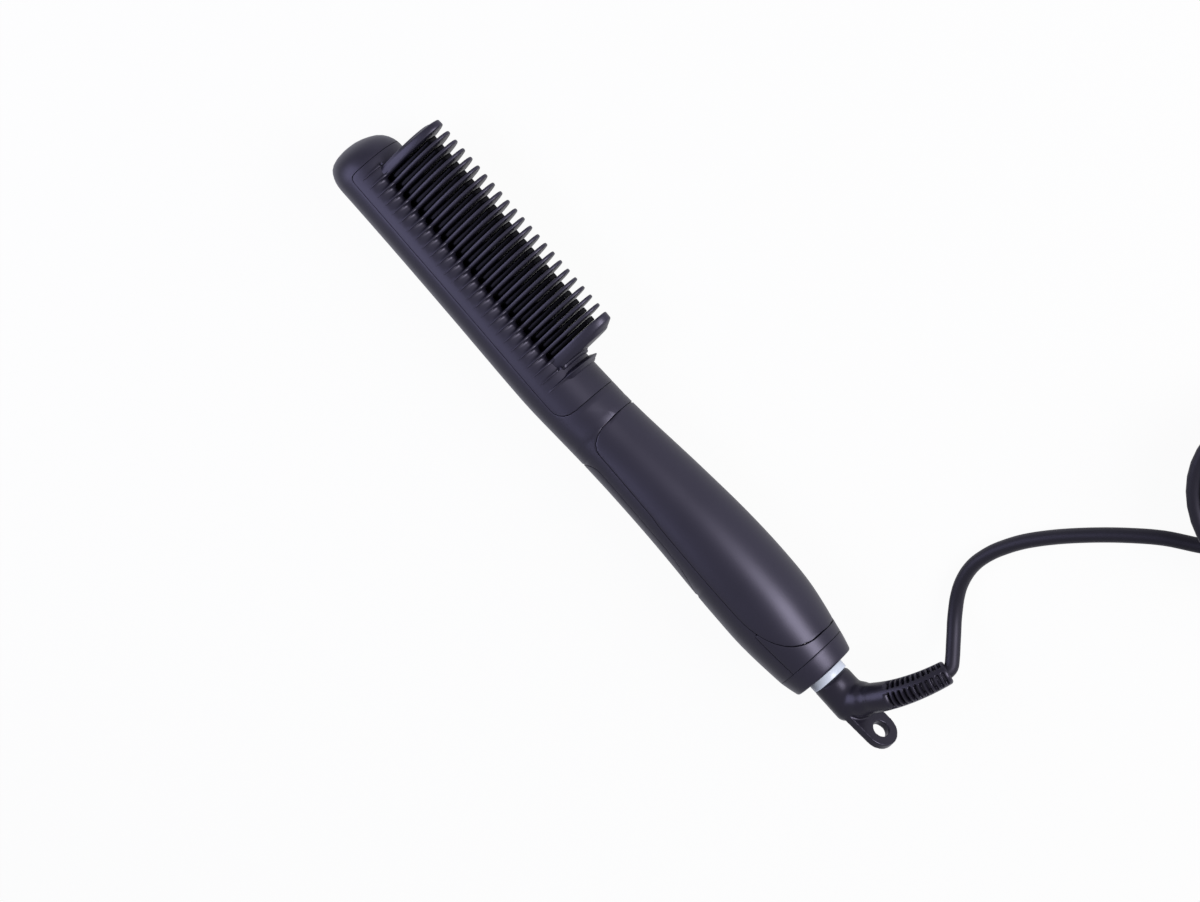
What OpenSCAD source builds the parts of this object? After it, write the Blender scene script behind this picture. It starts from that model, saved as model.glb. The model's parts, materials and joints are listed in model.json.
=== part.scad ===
// Heated comb hair straightener on a swivel cord
// Millimetres. Modelled lying on its side on z = 0: +X runs from the head to the tail,
// +Y is the way the teeth point, +Z is up. Inside the modules x is counted from the head's
// tip and y and z from the long axis; at_rest() moves that frame to the part's origin.

/* [Head and handle] */
// Radius of the round head
head_r = 14.3; // [13.8:0.1:14.8]
// Radius of the neck between the head and the handle
neck_r = 15; // [14.5:0.1:15.4]
// Largest radius of the handle
handle_r = 18; // [17.5:0.1:18.5]
// Radius of the end cap where it meets the handle
cap_r = 14.95; // [14.7:0.05:15.2]
// Thickness of the housing's walls
wall = 2; // [1.8:0.1:2.2]
// Width of the seams between the housing's panels
seam = 0.25; // [0.15:0.05:0.35]

/* [Comb] */
// Distance between one guard tooth and the next
tooth_pitch = 4.25; // [4.1:0.05:4.4]
// Thickness of a guard tooth
tooth_t = 1.3; // [1:0.1:1.5]
// Height of the guard teeth's tips above the long axis
tooth_top = 37.5; // [35:0.5:39]
// Half the width of a guard tooth
tooth_half_w = 10; // [9.5:0.1:10.2]
// Thickness of a heated tooth
hot_t = 1; // [0.8:0.1:1.2]
// Height of the heated teeth's tips above the long axis
hot_top = 30.8; // [29:0.2:32]

/* [Controls] */
// Diameter of the three buttons
button_d = 7; // [6:0.5:7.5]
// How far a button goes in
button_travel = 0.6; // [0.4:0.1:0.6]

/* [Swivel and cord] */
// Angle that the swivel is turned up by at rest, in degrees
swivel_rest = 10; // [0:1:20]
// Radius of the hole in the hanging loop
loop_hole_r = 3.3; // [3:0.1:4]
// Diameter of the mains lead
cord_d = 5.5; // [5:0.1:5.6]

/* [Hidden] */

// Finishes
shell_black = [0.2, 0.19, 0.25];
hot_black = [0.05, 0.05, 0.06];
cord_black = [0.13, 0.13, 0.17];
collar_white = [0.86, 0.88, 0.9];
board_green = [0.1, 0.35, 0.2];
steel = [0.7, 0.7, 0.72];
brass = [0.8, 0.65, 0.3];
ceramic_white = [0.9, 0.9, 0.86];

// Place of the part's origin, seen from the head's tip on the long axis
mid_x = 152.46;
mid_y = 12.14;
axis_h = handle_r;

// Lengths along the wand
nose_len = 13;
shell_end = 260;
cap_end = 267.8;
collar_start = cap_end + 0.3;
collar_end = 271.3;

// Radius and sideways place of the body's round sections, against the distance from the tip
radius_keys = [
    [nose_len, head_r], [75, head_r + 0.2], [115, neck_r], [148, neck_r], [178, neck_r + 1.2],
    [208, handle_r - 0.35], [224, handle_r], [240, handle_r - 0.4], [shell_end, cap_r],
    [shell_end + 4, cap_r - 0.9]
];
centre_keys = [
    [0, -3], [5, -0.7], [nose_len, 0.5], [115, -1.4], [137, -0.8], [150, -0.1], [164, 0.8],
    [180, 1.6], [200, 2.1], [224, 1.8], [240, 1.2], [250, 0.6], [shell_end, 0], [shell_end + 4, 0]
];

// The head is pitched slightly against the handle
head_x = 65.9;
head_y = -0.4;
head_pitch = 1.3;

// Comb: the guards number from 0 to last_guard, both ends included
last_guard = 22;
guard_mid = last_guard / 2;
tooth_round_y = 13.5;
tooth_foot_y = 9.4;
rib_proud = 0.8;
opening_half_w = 9.2;
block_out = [3.3, 4.4];
block_drop = [5, 4.5];
collar_x = 55;
stub_out = 4.1;
stub_top = [11.2, 9.6];

// Controls, all on the back of the handle
face_y = -13.6;
pad_y = -11.8;
plate_x = [156.5, 209];
plate_half_w = 4.8;
recess_x = [155, 211];
recess_half_w = 5.2;
window_x = [158, 178];
window_half_w = 4;
button_y = face_y - 0.8;
down_x = 185;
up_x = 194;
power_x = 203;
board_y = -5;
board_t = 1.6;
board_x = [151, 221];
boss_x = [156, 216];

// Swivel
shaft_r = 4.5;
bush_r = 7.5;
elbow_r = 7.7;
elbow_end = 287.6;
branch_root = [282.2, 0];
branch_angle = 67.7;
branch_len = 12.5;
branch_r = 5.7;
relief_turn = 40.6;
relief_lean = 85;
relief_len = 30;
relief_tip_r = 4.6;
relief_round = 1.1;
slots = 11;
slot_pitch = 1.9;
slot_first = 9.1;
slot_w = 1;
slot_core_r = 3.3;
slot_rows = [220.5, 93, -12];
slot_half = 40;
loop_root_x = 287;
loop_out = 10.7;
loop_lean = 5;
loop_r = 7.1;
loop_t = 3.4;

// Cord: points of its free stretch on the floor, and the coil of what is put away
floor_z = -axis_h;
cord_r = cord_d / 2;
cord_z = floor_z + cord_r;
coil_x = 322.5;
coil_y = 199;
coil_mid_r = 28;
coil_pitch = 6;
coil_layers = 4;
coil_start = -58;
coil_turns = 8.926;
coil_lift = 1.1;
coil_rings = 20;
coil_sides = 6;
turns_per_layer = coil_turns / coil_layers;
coil_in_r = coil_mid_r - coil_pitch * turns_per_layer / 2;
coil_z = cord_z + coil_lift;
coil_top = coil_z + coil_pitch * (coil_layers - 1) + cord_r;
cord_route = [
    [296.4, 41.3, -5.4], [293.7, 43.8, -7.5], [290.8, 45.9, -9.6], [287.7, 48.3, -11.6], [284.5, 51, -13.2],
    [281.7, 53.9, -14.3], [278.7, 57.6, -15], [275.9, 62.4, -15.2], [273.9, 68, -15.2], [273, 73.8, -15.2],
    [273.3, 79.8, -15.2], [274.6, 86.4, -15.2], [278, 96.3, -15.2], [283.9, 107.8, -15.2],
    [291.4, 119.7, -15.2], [299.4, 130.8, -15.2], [308, 141.1, -15.2], [317.7, 150, -15.1], [328.2, 160.9, -14.45]
];
lead_route = [
    [334, 165.6, 4.8], [339.4, 167.4, 7], [345, 171, 9.4], [349.2, 176.6, 11.8], [351.1, 183.4, 13.6]
];
tie_angle = 135;
tie_w = 10;
tie_t = 0.8;
tie_gap = 0.3;
plug_start = [349.8, 190.6, 14.4];
plug_heading = 105;
plug_relief_len = 20;
end_gap = 0.15;
plug_len = 24;

// Curves

// Value at x of a smooth curve through keys of [x, value]
function slope(keys, i) =
    i <= 0 || i >= len(keys) - 1 ? 0
    : (keys[i + 1][1] - keys[i - 1][1]) / (keys[i + 1][0] - keys[i - 1][0]);
function key_before(keys, x, i = 0) =
    i >= len(keys) - 2 || x < keys[i + 1][0] ? i : key_before(keys, x, i + 1);
function smooth(keys, x) =
    let (
        i = key_before(keys, x),
        span = keys[i + 1][0] - keys[i][0],
        t = (x - keys[i][0]) / span,
        a = slope(keys, i) * span,
        b = slope(keys, i + 1) * span,
        p = keys[i][1],
        q = keys[i + 1][1]
    )
    p + a * t + (3 * (q - p) - 2 * a - b) * t * t + (2 * (p - q) + a + b) * t * t * t;

// Radius of the body at x: a rounded nose, then the keys
function body_radius(x) =
    x < nose_len ? head_r * pow(1 - pow(1 - x / nose_len, 2.4), 1 / 2.4) : smooth(radius_keys, x);
function body_centre(x) = smooth(centre_keys, x);

// Points of a quarter ellipse about c, from the angle a0 to a1
function arc(c, rx, ry, a0, a1, steps = 8) =
    [for (i = [0:steps]) let (a = a0 + (a1 - a0) * i / steps) [c[0] + rx * cos(a), c[1] + ry * sin(a)]];

// Smooth path through hand-placed points, with the given steps between two of them
function path_point(p, i, t) =
    let (
        last = len(p) - 1,
        a = p[max(i - 1, 0)],
        b = p[i],
        c = p[min(i + 1, last)],
        d = p[min(i + 2, last)]
    )
    0.5 * (2 * b + (c - a) * t + (2 * a - 5 * b + 4 * c - d) * t * t
        + (3 * b - a - 3 * c + d) * t * t * t);
function smooth_path(p, steps) = [
    for (i = [0:len(p) - 2], k = [0:steps - 1]) path_point(p, i, k / steps),
    p[len(p) - 1]
];
function unit(v) = v / norm(v);
function tangent(p, i) = unit(p[min(i + 1, len(p) - 1)] - p[max(i - 1, 0)]);

// Ring of points of radius r about c, square to the direction t
function tube_ring(c, t, r, sides) =
    let (side = unit(cross(t, [0, 0, 1])), up = cross(side, t))
    [for (j = [0:sides - 1]) let (a = 360 * (j + 0.5) / sides) c + r * (side * cos(a) + up * sin(a))];

// Length of a path
function path_length(p, i = 0) =
    i >= len(p) - 1 ? 0 : norm(p[i + 1] - p[i]) + path_length(p, i + 1);

// Solids from curves

// One closed solid through rings that have equal numbers of points
module skin(rings) {
    n = len(rings[0]);
    last = len(rings) - 1;
    sides = [
        for (i = [0:last - 1], j = [0:n - 1])
        let (a = i * n + j, b = i * n + (j + 1) % n)
        each [[a, b, a + n], [b, b + n, a + n]]
    ];
    start_cap = [for (j = [1:n - 2]) [0, j + 1, j]];
    end_cap_faces = [for (j = [1:n - 2]) [last * n, last * n + j, last * n + j + 1]];
    polyhedron([for (ring = rings) each ring], concat(sides, start_cap, end_cap_faces), convexity = 8);
}

// Tube along a path
module tube(path, r, sides) {
    skin([for (i = [0:len(path) - 1]) tube_ring(path[i], tangent(path, i), r, sides)]);
}

// Frames

// The wand's own frame, put down at the part's origin
module at_rest() {
    translate([-mid_x, -mid_y, axis_h]) children();
}

// The head's frame: x from its middle, y up the teeth
module in_head() {
    translate([head_x, head_y, 0]) rotate([0, 0, -head_pitch]) children();
}

// The swivel's frame, turned up about the long axis
module in_swivel() {
    rotate([swivel_rest, 0, 0]) children();
}

// Turns a shape that is drawn in x and y with its thickness along z into one across the wand:
// its x runs along the wand and its y along the height of the teeth
module prism(half) {
    translate([0, 0, -half]) linear_extrude(2 * half) children();
}

// Turns a shape drawn with its axis along z so that the axis runs along x, from x0
module along_x(x0) {
    translate([x0, 0, 0]) rotate([0, 90, 0]) children();
}

// Turns a shape drawn with its axis along z so that the axis runs along y, from y0
module along_y(x, y0, z = 0) {
    translate([x, y0, z]) rotate([-90, 0, 0]) children();
}

// Box between two corners
module block(a, b) {
    translate(a) cube(b - a);
}

// Rectangle with round corners between two corners
module round_rect(a, b, r) {
    translate([a[0] + r, a[1]]) square([b[0] - a[0] - 2 * r, b[1] - a[1]]);
    translate([a[0], a[1] + r]) square([b[0] - a[0], b[1] - a[1] - 2 * r]);
    for (x = [a[0] + r, b[0] - r], y = [a[1] + r, b[1] - r]) translate([x, y]) circle(r, $fn = 32);
}

// Housing

nose_stations = [for (a = [4, 13, 23, 34, 46, 59, 73]) nose_len * (1 - cos(a))];
body_stations = concat(
    nose_stations,
    [nose_len, 22, 34, 50, 66, 82, 98, 110, 120, 130, 140, 148, 156, 164, 172, 180, 188, 196, 204, 212,
        220, 228, 235, 241, 247, 253, shell_end]
);
bore_stations = [4, 7, 11, 30, 75, 112, 135, 150, 165, 180, 195, 210, 224, 238, 248, shell_end + 2];

// Ring of points of one round section of the body, drawn in by inset
function body_ring(x, inset, sides) =
    let (r = body_radius(x) - inset, c = body_centre(x))
    [for (j = [0:sides - 1]) let (a = 90 + 360 * j / sides) [x, c + r * cos(a), r * sin(a)]];

// Body as a row of short lengths, each between the rings at two stations
module lengths(stations, inset, sides) {
    for (i = [0:len(stations) - 2])
        hull() skin([for (k = [0, 1]) body_ring(stations[i + k], inset, sides)]);
}

module body_solid() {
    lengths(body_stations, 0, 36);
}

// Hollow of the housing, open at the tail
module body_bore() {
    lengths(bore_stations, wall, 20);
}

module housing() {
    difference() {
        body_solid();
        body_bore();
    }
}

// Outline of the comb cover in the head's frame, grown by g
module comb_outline(g) {
    left = -54.9 - g;
    right = 66.5 + g;
    low = -g;
    high = 40;
    polygon(concat(
        [[left + 2.2, high]],
        arc([left + 2.5, low + 2.5], 2.5, 2.5, 180, 270, 5),
        arc([right - 6.5, low + 8], 6.5, 8, 270, 360),
        [[right, high]]
    ));
}

// Outline of the handle's front cover, grown by g
module handle_outline(g) {
    left = 143.6 - g;
    low = 1.4 - g;
    end_low = 0.8 - g;
    high = 30;
    polygon(concat(
        [[left, high]],
        arc([left + 7.5, low + 12], 7.5, 12, 180, 270),
        [[183, low], [185, end_low]],
        arc([243.5, end_low + 15], 11 + g, 15, 270, 360),
        [[254.5 + g, high]]
    ));
}

// Region of the bridge behind the handle's front cover, grown by g
module bridge_outline(g) {
    difference() {
        polygon([[236, 0.6 - g], [shell_end + 1, -g], [shell_end + 1, 30], [236, 30]]);
        handle_outline(seam - g);
    }
}

// Outline of the control panel in the handle's back, grown by g
module panel_outline(g) {
    left = 149 - g;
    right = 215 + g;
    high = -4.5 + g;
    low = -30;
    polygon(concat(
        [[right, low]],
        arc([right - 22, high - 11], 22, 11, 0, 90),
        arc([left + 7, high - 10], 7, 10, 90, 180),
        [[left, low]]
    ));
}

// Back half, with whole rings at the nose and the neck
module back_shell() {
    color(shell_black) at_rest() {
        difference() {
            housing();
            in_head() prism(30) comb_outline(seam);
            prism(30) handle_outline(seam);
            prism(30) bridge_outline(seam);
            prism(30) panel_outline(seam);
        }
        in_head() for (side = [-1, 1]) along_y(side * 49.7, -13) cylinder(h = 17, r = 2, $fn = 16);
    }
}

// Comb cover

// Plate in the head's x, from x - t / 2 to x + t / 2, of a shape drawn in z and y
module plate(x, t) {
    translate([x - t / 2, 0, 0]) rotate([0, 0, 90]) rotate([90, 0, 0]) linear_extrude(t) children();
}

// Arch of a tooth: half an ellipse on straight sides, drawn in y and z, drawn in by inset
module arch(inset, height, half_w, steps = 10) {
    polygon(concat(
        [[tooth_foot_y, -half_w + inset]],
        [for (i = [0:steps])
            let (a = -90 + 180 * i / steps)
            [tooth_round_y + (height - inset) * cos(a), (half_w - inset) * sin(a)]],
        [[tooth_foot_y, half_w - inset]]
    ));
}

// Guard tooth: a plate with rounded rims
module guard(x) {
    rim = 0.4;
    height = tooth_top - tooth_round_y;
    hull() {
        plate(x, tooth_t) arch(rim, height, tooth_half_w);
        plate(x, tooth_t - 2 * rim) arch(0, height, tooth_half_w);
    }
}

// Point in y and z at an angle from the top of the head, d above the surface whose radius is r
function on_side(a, r, d, side) = [(r + d) * cos(a), side * (r + d) * sin(a)];

// Rib down the side of the head below a tooth, wide at its top and fine at its foot
module side_rib(x, side, top_t = tooth_t - 0.1, top = [tooth_round_y + 1, tooth_half_w - 0.2]) {
    r = body_radius(head_x + x);
    hull() {
        plate(x, top_t) polygon([
            [top[0], side * (top[1] - 1.5)], [top[0] - 0.4, side * top[1]], on_side(44, r, rib_proud, side),
            on_side(52, r, 0.95 * rib_proud, side), on_side(52, r, -1.1, side)
        ]);
        plate(x, 0.3) polygon([
            on_side(52, r, 0.95 * rib_proud, side), on_side(60, r, 0.75 * rib_proud, side),
            on_side(68, r, 0.45 * rib_proud, side), on_side(77, r, 0, side), on_side(76, r, -1.1, side)
        ]);
    }
}

// Thick guard that closes one end of the comb; side is -1 at the tip and 1 at the handle
module end_guard(side) {
    x = side * guard_mid * tooth_pitch;
    deep = side < 0 ? block_out[0] : block_out[1];
    drop = side < 0 ? block_drop[0] : block_drop[1];
    height = tooth_top - tooth_round_y;
    hull() {
        plate(x, tooth_t) arch(0.4, height, tooth_half_w);
        plate(x, tooth_t - 0.6) arch(0, height, tooth_half_w);
        plate(x + side * deep * 0.5, 0.4) arch(0.1, height, tooth_half_w);
        plate(x + side * (deep - 0.4), 0.2) arch(0.1, height - drop + 0.6, tooth_half_w - 0.3);
        plate(x + side * deep, 0.1) arch(0.5, height - drop, tooth_half_w - 0.3);
    }
    if (side > 0) hull() {
        plate(x + deep - 1, 0.1) arch(0.6, 3, tooth_half_w - 0.6);
        plate(x + deep + 1.2, 0.1) arch(0.8, 2, tooth_half_w - 0.6);
    }
}

// Raised collar across the front of the head, behind the comb
module collar() {
    r = body_radius(head_x + collar_x);
    function proud(a) = let (s = abs(a)) s < 32 ? 3.2 : s < 42 ? 3.2 - 0.22 * (s - 32) : (76 - s) / 34;
    skin([
        for (i = [-13:13])
        let (a = i * 6, p = proud(a))
        [
            for (q = [[-2, -1.4], [-1.2, 0.35 * p], [-0.1, p], [0.7, 0.6 * p], [1.5, 0.4 * p], [2, -1.4]])
            [collar_x + q[0] * (0.3 + 0.22 * max(p, 0)), (r + q[1]) * cos(a), (r + q[1]) * sin(a)]
        ]
    ]);
}

// Front panel of the head with the guard teeth
module comb_cover() {
    color(shell_black) at_rest() {
        difference() {
            intersection() {
                housing();
                in_head() prism(30) comb_outline(0);
            }
            in_head() prism(opening_half_w) translate([-guard_mid * tooth_pitch - 1.6, 4])
                square([2 * guard_mid * tooth_pitch + 3.2, 30]);
        }
        in_head() {
            for (k = [1:last_guard - 1]) guard((k - guard_mid) * tooth_pitch);
            for (k = [0:last_guard], side = [-1, 1]) side_rib((k - guard_mid) * tooth_pitch, side);
            for (side = [-1, 1]) {
                for (end = [-1, 1]) side_rib(end * (guard_mid * tooth_pitch + stub_out), side, 0.9, stub_top);
                end_guard(side);
            }
            collar();
        }
    }
}

// Front half of the handle, with two bosses for the circuit board
module handle_front_cover() {
    color(shell_black) at_rest() {
        intersection() {
            housing();
            prism(30) handle_outline(0);
        }
        for (i = [0, 1]) {
            top = body_centre(boss_x[i]) + body_radius(boss_x[i]) - wall + 0.4;
            difference() {
                along_y(boss_x[i], board_y) cylinder(h = top - board_y, r = 3, $fn = 32);
                along_y(boss_x[i], board_y - 1) cylinder(h = 9, r = 1.3, $fn = 32);
            }
        }
    }
}

// Short piece between the handle's front cover and the end cap
module tail_bridge() {
    color(shell_black) at_rest() intersection() {
        housing();
        prism(30) bridge_outline(0);
    }
}

// Cap that closes the tail and holds the swivel's bush
module end_cap() {
    color(shell_black) at_rest() along_x(0) rotate_extrude($fn = 96) polygon(concat(
        [[bush_r + 0.05, 257], [9.5, 257], [9.5, 262], [11.6, 262], [11.6, 257], [12.3, 257],
            [12.3, shell_end + 0.1], [cap_r, shell_end + 0.1]],
        [for (i = [1:4]) let (t = i / 4) [cap_r - 1.45 * t - 0.35 * t * t, shell_end + 7.2 * t]],
        [[12.7, cap_end - 0.1], [5, cap_end], [5, cap_end - 2.2], [bush_r + 0.05, cap_end - 2.2]]
    ));
}

// Controls

// Panel in the back of the handle, with a flat recess and an opening for the button plate
module control_panel() {
    color(shell_black) at_rest() difference() {
        intersection() {
            housing();
            prism(30) panel_outline(0);
        }
        facet(face_y, recess_half_w + 0.6, recess_x, 12);
        facet(pad_y + 3, plate_half_w + 0.1, [plate_x[0] - 0.1, plate_x[1] + 0.1], 12);
    }
}

// Flat plate in the panel's recess, with a window and three button holes
module button_plate() {
    color(hot_black) at_rest() difference() {
        facet(pad_y, plate_half_w, plate_x, pad_y - face_y);
        facet(pad_y + 1, window_half_w + 0.1, [window_x[0] - 0.1, window_x[1] + 0.1], 12, 1.1);
        for (x = [down_x, up_x, power_x]) along_y(x, face_y - 3) cylinder(h = 8, d = button_d + 0.24, $fn = 64);
    }
}

// Slab with round corners whose inner face is at y and that reaches outwards by depth
module facet(y, half_w, span, depth, r = 3) {
    translate([0, y, 0]) rotate([90, 0, 0]) linear_extrude(depth)
        round_rect([span[0], -half_w], [span[1], half_w], r);
}

// Dark window of the temperature display
module display_window() {
    color(hot_black) at_rest() facet(-12, window_half_w, window_x, -12 - face_y, 1);
}

// Round push button at x with its flange and stem
module push_button(x) {
    color(shell_black) at_rest() {
        along_y(x, button_y + 0.4) cylinder(h = -11.3 - button_y - 0.4, d = button_d, $fn = 64);
        along_y(x, button_y) cylinder(h = 0.4, d1 = button_d - 0.8, d2 = button_d, $fn = 64);
        along_y(x, -11.4) cylinder(h = 0.7, r = button_d / 2 + 0.8, $fn = 64);
        along_y(x, -10.9) cylinder(h = 0.7, r = 1.5, $fn = 32);
    }
}

module power_button() {
    push_button(power_x);
}

module temperature_up_button() {
    push_button(up_x);
}

module temperature_down_button() {
    push_button(down_x);
}

// Heater

// Side view of a heated tooth: narrow round top, wide foot
module hot_profile() {
    polygon(concat(
        [[8, -6.9], [12, -6.9]],
        arc([hot_top - 1.3, -1.7], 1.3, 1.3, -80, 0, 4),
        arc([hot_top - 1.3, 1.7], 1.3, 1.3, 0, 80, 4),
        [[12, 6.9], [8, 6.9]]
    ));
}

// Cast comb of heated teeth on one base
module heater_comb() {
    color(hot_black) at_rest() in_head() difference() {
        union() {
            block([-46, 4.5, -8.2], [46, 8.8, 8.2]);
            for (k = [0:last_guard - 1]) plate((k + 0.5 - guard_mid) * tooth_pitch, hot_t) hot_profile();
        }
        for (x = [-42, 42]) along_y(x, 4) cylinder(h = 4.1, r = 1.3, $fn = 32);
    }
}

// Heat-proof frame round the heater's base
module heater_frame() {
    color(ceramic_white) at_rest() in_head() difference() {
        block([-52, 4, -9.6], [52, 7, 9.6]);
        block([-46.1, 3, -8.3], [46.1, 8, 8.3]);
    }
}

// Flat ceramic heating element under the base
module ceramic_heater() {
    color(ceramic_white) at_rest() in_head() block([-40, 3, -7], [40, 4.5, 7]);
}

// Insulating sheet below the element
module mica_sheet() {
    color(brass) at_rest() in_head() block([-40.3, 2.6, -8], [40.3, 3, 8]);
}

// Plate that presses the element against the base
module heater_clamp() {
    color(steel) at_rest() in_head() difference() {
        block([-44, 1.6, -8], [44, 2.6, 8]);
        for (x = [-42, 42]) along_y(x, 1) cylinder(h = 3, r = 1.4, $fn = 32);
    }
}

// The clamp's two screws
module heater_screws() {
    color(steel) at_rest() in_head() for (x = [-42, 42]) {
        along_y(x, 0.2) cylinder(h = 1.4, r = 2.3, $fn = 32);
        along_y(x, 1.6) cylinder(h = 6, r = 1.25, $fn = 32);
    }
}

// Temperature sensor bead on the clamp
module thermistor() {
    color(brass) at_rest() in_head() translate([10, 0.9, 0]) along_x(-3) cylinder(h = 6, r = 0.7, $fn = 32);
}

// Thermal fuse on the clamp
module thermal_fuse() {
    color(steel) at_rest() in_head() translate([0, -0.15, 0]) along_x(-20) cylinder(h = 11, r = 1.75, $fn = 32);
}

// Insulated wire through hand-placed points
module wire(points) {
    tube(smooth_path(points, 3), 1.1, 6);
}

module heater_leads() {
    color(brass) at_rest() for (side = [-1, 1])
        wire([[98, -2, 3 * side], [112, -3, 4 * side], [130, -3.4, 5.2 * side], [150.5, -3.6, 5.2 * side]]);
}

// Electronics

// Circuit board behind the controls
module main_board() {
    color(board_green) at_rest() difference() {
        block([board_x[0], board_y - board_t, -10], [board_x[1], board_y, 10]);
        for (x = boss_x) along_y(x, board_y - 3) cylinder(h = 5, r = 1.4, $fn = 32);
    }
}

// Two-digit display under the window
module display_module() {
    color(hot_black) at_rest() block([159, -11.4, -3.8], [177, board_y - board_t, 3.8]);
}

// Switches under the three buttons
module tact_switches() {
    color(steel) at_rest() for (x = [down_x, up_x, power_x]) {
        block([x - 3, -9.2, -3], [x + 3, board_y - board_t, 3]);
        along_y(x, -9.5) cylinder(h = 0.3, r = 1.6, $fn = 32);
    }
}

// Capacitor, coil and power switch on the other side of the board
module board_components() {
    color(hot_black) at_rest() {
        block([190, board_y, -8], [206, 3, 3]);
        block([165, board_y, -5], [175, 4, -2]);
        along_y(182, board_y) cylinder(h = 8, r = 5, $fn = 48);
    }
}

module board_screws() {
    color(steel) at_rest() for (x = boss_x) {
        along_y(x, board_y - board_t - 1.6) cylinder(h = 1.6, r = 2.3, $fn = 32);
        along_y(x, board_y - board_t) cylinder(h = 8, r = 1.25, $fn = 32);
    }
}

module mains_leads() {
    color(brass) at_rest() for (side = [-1, 1])
        wire([[221.5, -5.4, 6.5 * side], [229, -6.4, 6.8 * side], [236.5, -7.8, 6.8 * side]]);
}

// Swivel joint

// Bush that the swivel's shaft turns in
module swivel_bush() {
    color(steel) at_rest() along_x(0) rotate_extrude($fn = 96) polygon([
        [shaft_r + 0.05, 252.5], [9.2, 252.5], [9.2, 256.8], [bush_r, 256.8],
        [bush_r, cap_end - 2.4], [shaft_r + 0.05, cap_end - 2.4]
    ]);
}

module brush_holder() {
    color(hot_black) at_rest() block([237, -9.5, -8], [248, -6.5, 8]);
}

// Two springy strips that touch the slip rings
module brush_contacts() {
    color(brass) at_rest() for (x = [238.2, 243.7]) {
        block([x, -5.55, -6], [x + 2.6, -5.25, 6]);
        for (z = [-6, 5]) block([x, -6.5, z], [x + 2.6, -5.55, z + 1]);
    }
}

// White shaft and collar that the elbow turns with
module swivel_core() {
    color(collar_white) at_rest() along_x(0) rotate_extrude($fn = 96) polygon([
        [0, 236], [shaft_r, 236], [shaft_r, 250.5], [3.7, 250.5], [3.7, 251.7], [shaft_r, 251.7],
        [shaft_r, collar_start], [elbow_r - 0.05, collar_start], [elbow_r - 0.05, collar_end], [0, collar_end]
    ]);
}

// Clip in the shaft's groove, which keeps the shaft in its bush
module retaining_clip() {
    color(steel) at_rest() in_swivel() along_x(250.6) difference() {
        cylinder(h = 1, r = 7, $fn = 64);
        translate([0, 0, -1]) cylinder(h = 3, r = 3.75, $fn = 64);
        translate([-2.5, 0, -1]) cube([5, 10, 3]);
    }
}

module slip_rings() {
    color(brass) at_rest() for (x = [238, 243.5]) along_x(x) difference() {
        cylinder(h = 3, r = 5.1, $fn = 64);
        translate([0, 0, -1]) cylinder(h = 5, r = shaft_r, $fn = 64);
    }
}

// Elbow with the foot of its branch and the hanging loop
module swivel_elbow() {
    round_r = 4;
    color(shell_black) at_rest() in_swivel() difference() {
        union() {
            along_x(0) rotate_extrude($fn = 96) polygon(concat(
                [[0, collar_end], [elbow_r, collar_end]],
                [for (p = arc([elbow_r - round_r, elbow_end - round_r], round_r, round_r, 0, 90, 6)) p],
                [[0, elbow_end]]
            ));
            translate([branch_root[0], 0, 0]) rotate([0, 0, branch_angle]) along_x(0)
                cylinder(h = branch_len, r1 = branch_r + 0.4, r2 = branch_r, $fn = 64);
            in_loop() translate([0, 0, -loop_t / 2]) linear_extrude(loop_t) {
                circle(loop_r, $fn = 96);
                translate([-loop_out - 6, -loop_r]) square([loop_out + 6, 2 * loop_r]);
            }
        }
        in_loop() cylinder(h = 4 * loop_t, r = loop_hole_r, center = true, $fn = 96);
    }
}

// Middle of the loop's hole, its axis along z and x pointing away from the elbow
module in_loop() {
    translate([loop_root_x, 0, 0]) rotate([0, 0, loop_lean]) translate([loop_out, 0, 0]) rotate([90, 0, 0])
        children();
}

// Strain relief: its centre line is an arc that starts along the branch and leans down from it
branch_dir = [cos(branch_angle), sin(branch_angle), 0];
relief_root = [branch_root[0], branch_root[1], 0] + branch_len * branch_dir;
relief_side = cos(relief_lean) * [-sin(branch_angle), cos(branch_angle), 0] - sin(relief_lean) * [0, 0, 1];
relief_bend_r = relief_len / (relief_turn * PI / 180);
function relief_angle(s) = relief_turn * s / relief_len;
function relief_dir(s) = cos(relief_angle(s)) * branch_dir + sin(relief_angle(s)) * relief_side;
function relief_point(s) =
    relief_root + relief_bend_r * (sin(relief_angle(s)) * branch_dir + (1 - cos(relief_angle(s))) * relief_side);
function relief_radius(s) = branch_r + (relief_tip_r - branch_r) * s / relief_len;

// Angles of a ring's corners: five across each row of slots and one on the spine after it
relief_corners = [
    for (i = [0:2])
    let (row = slot_rows[i], next = i < 2 ? slot_rows[i + 1] : slot_rows[0] - 360)
    each [row + slot_half, row + slot_half / 2, row, row - slot_half / 2, row - slot_half, (row + next) / 2]
];
function on_spine(i) = i % 6 == 0 || i % 6 > 3;

// Ring of the relief at s: of radius r where the slots are, and of spine_r on the spines
function relief_ring(s, r, spine_r) =
    let (t = relief_dir(s), across = unit(cross([0, 0, 1], t)), up = cross(t, across))
    [
        for (i = [0:len(relief_corners) - 1])
        let (q = relief_corners[i])
        relief_point(s) + (on_spine(i) ? spine_r : r) * (cos(q) * across + sin(q) * up)
    ];

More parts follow.
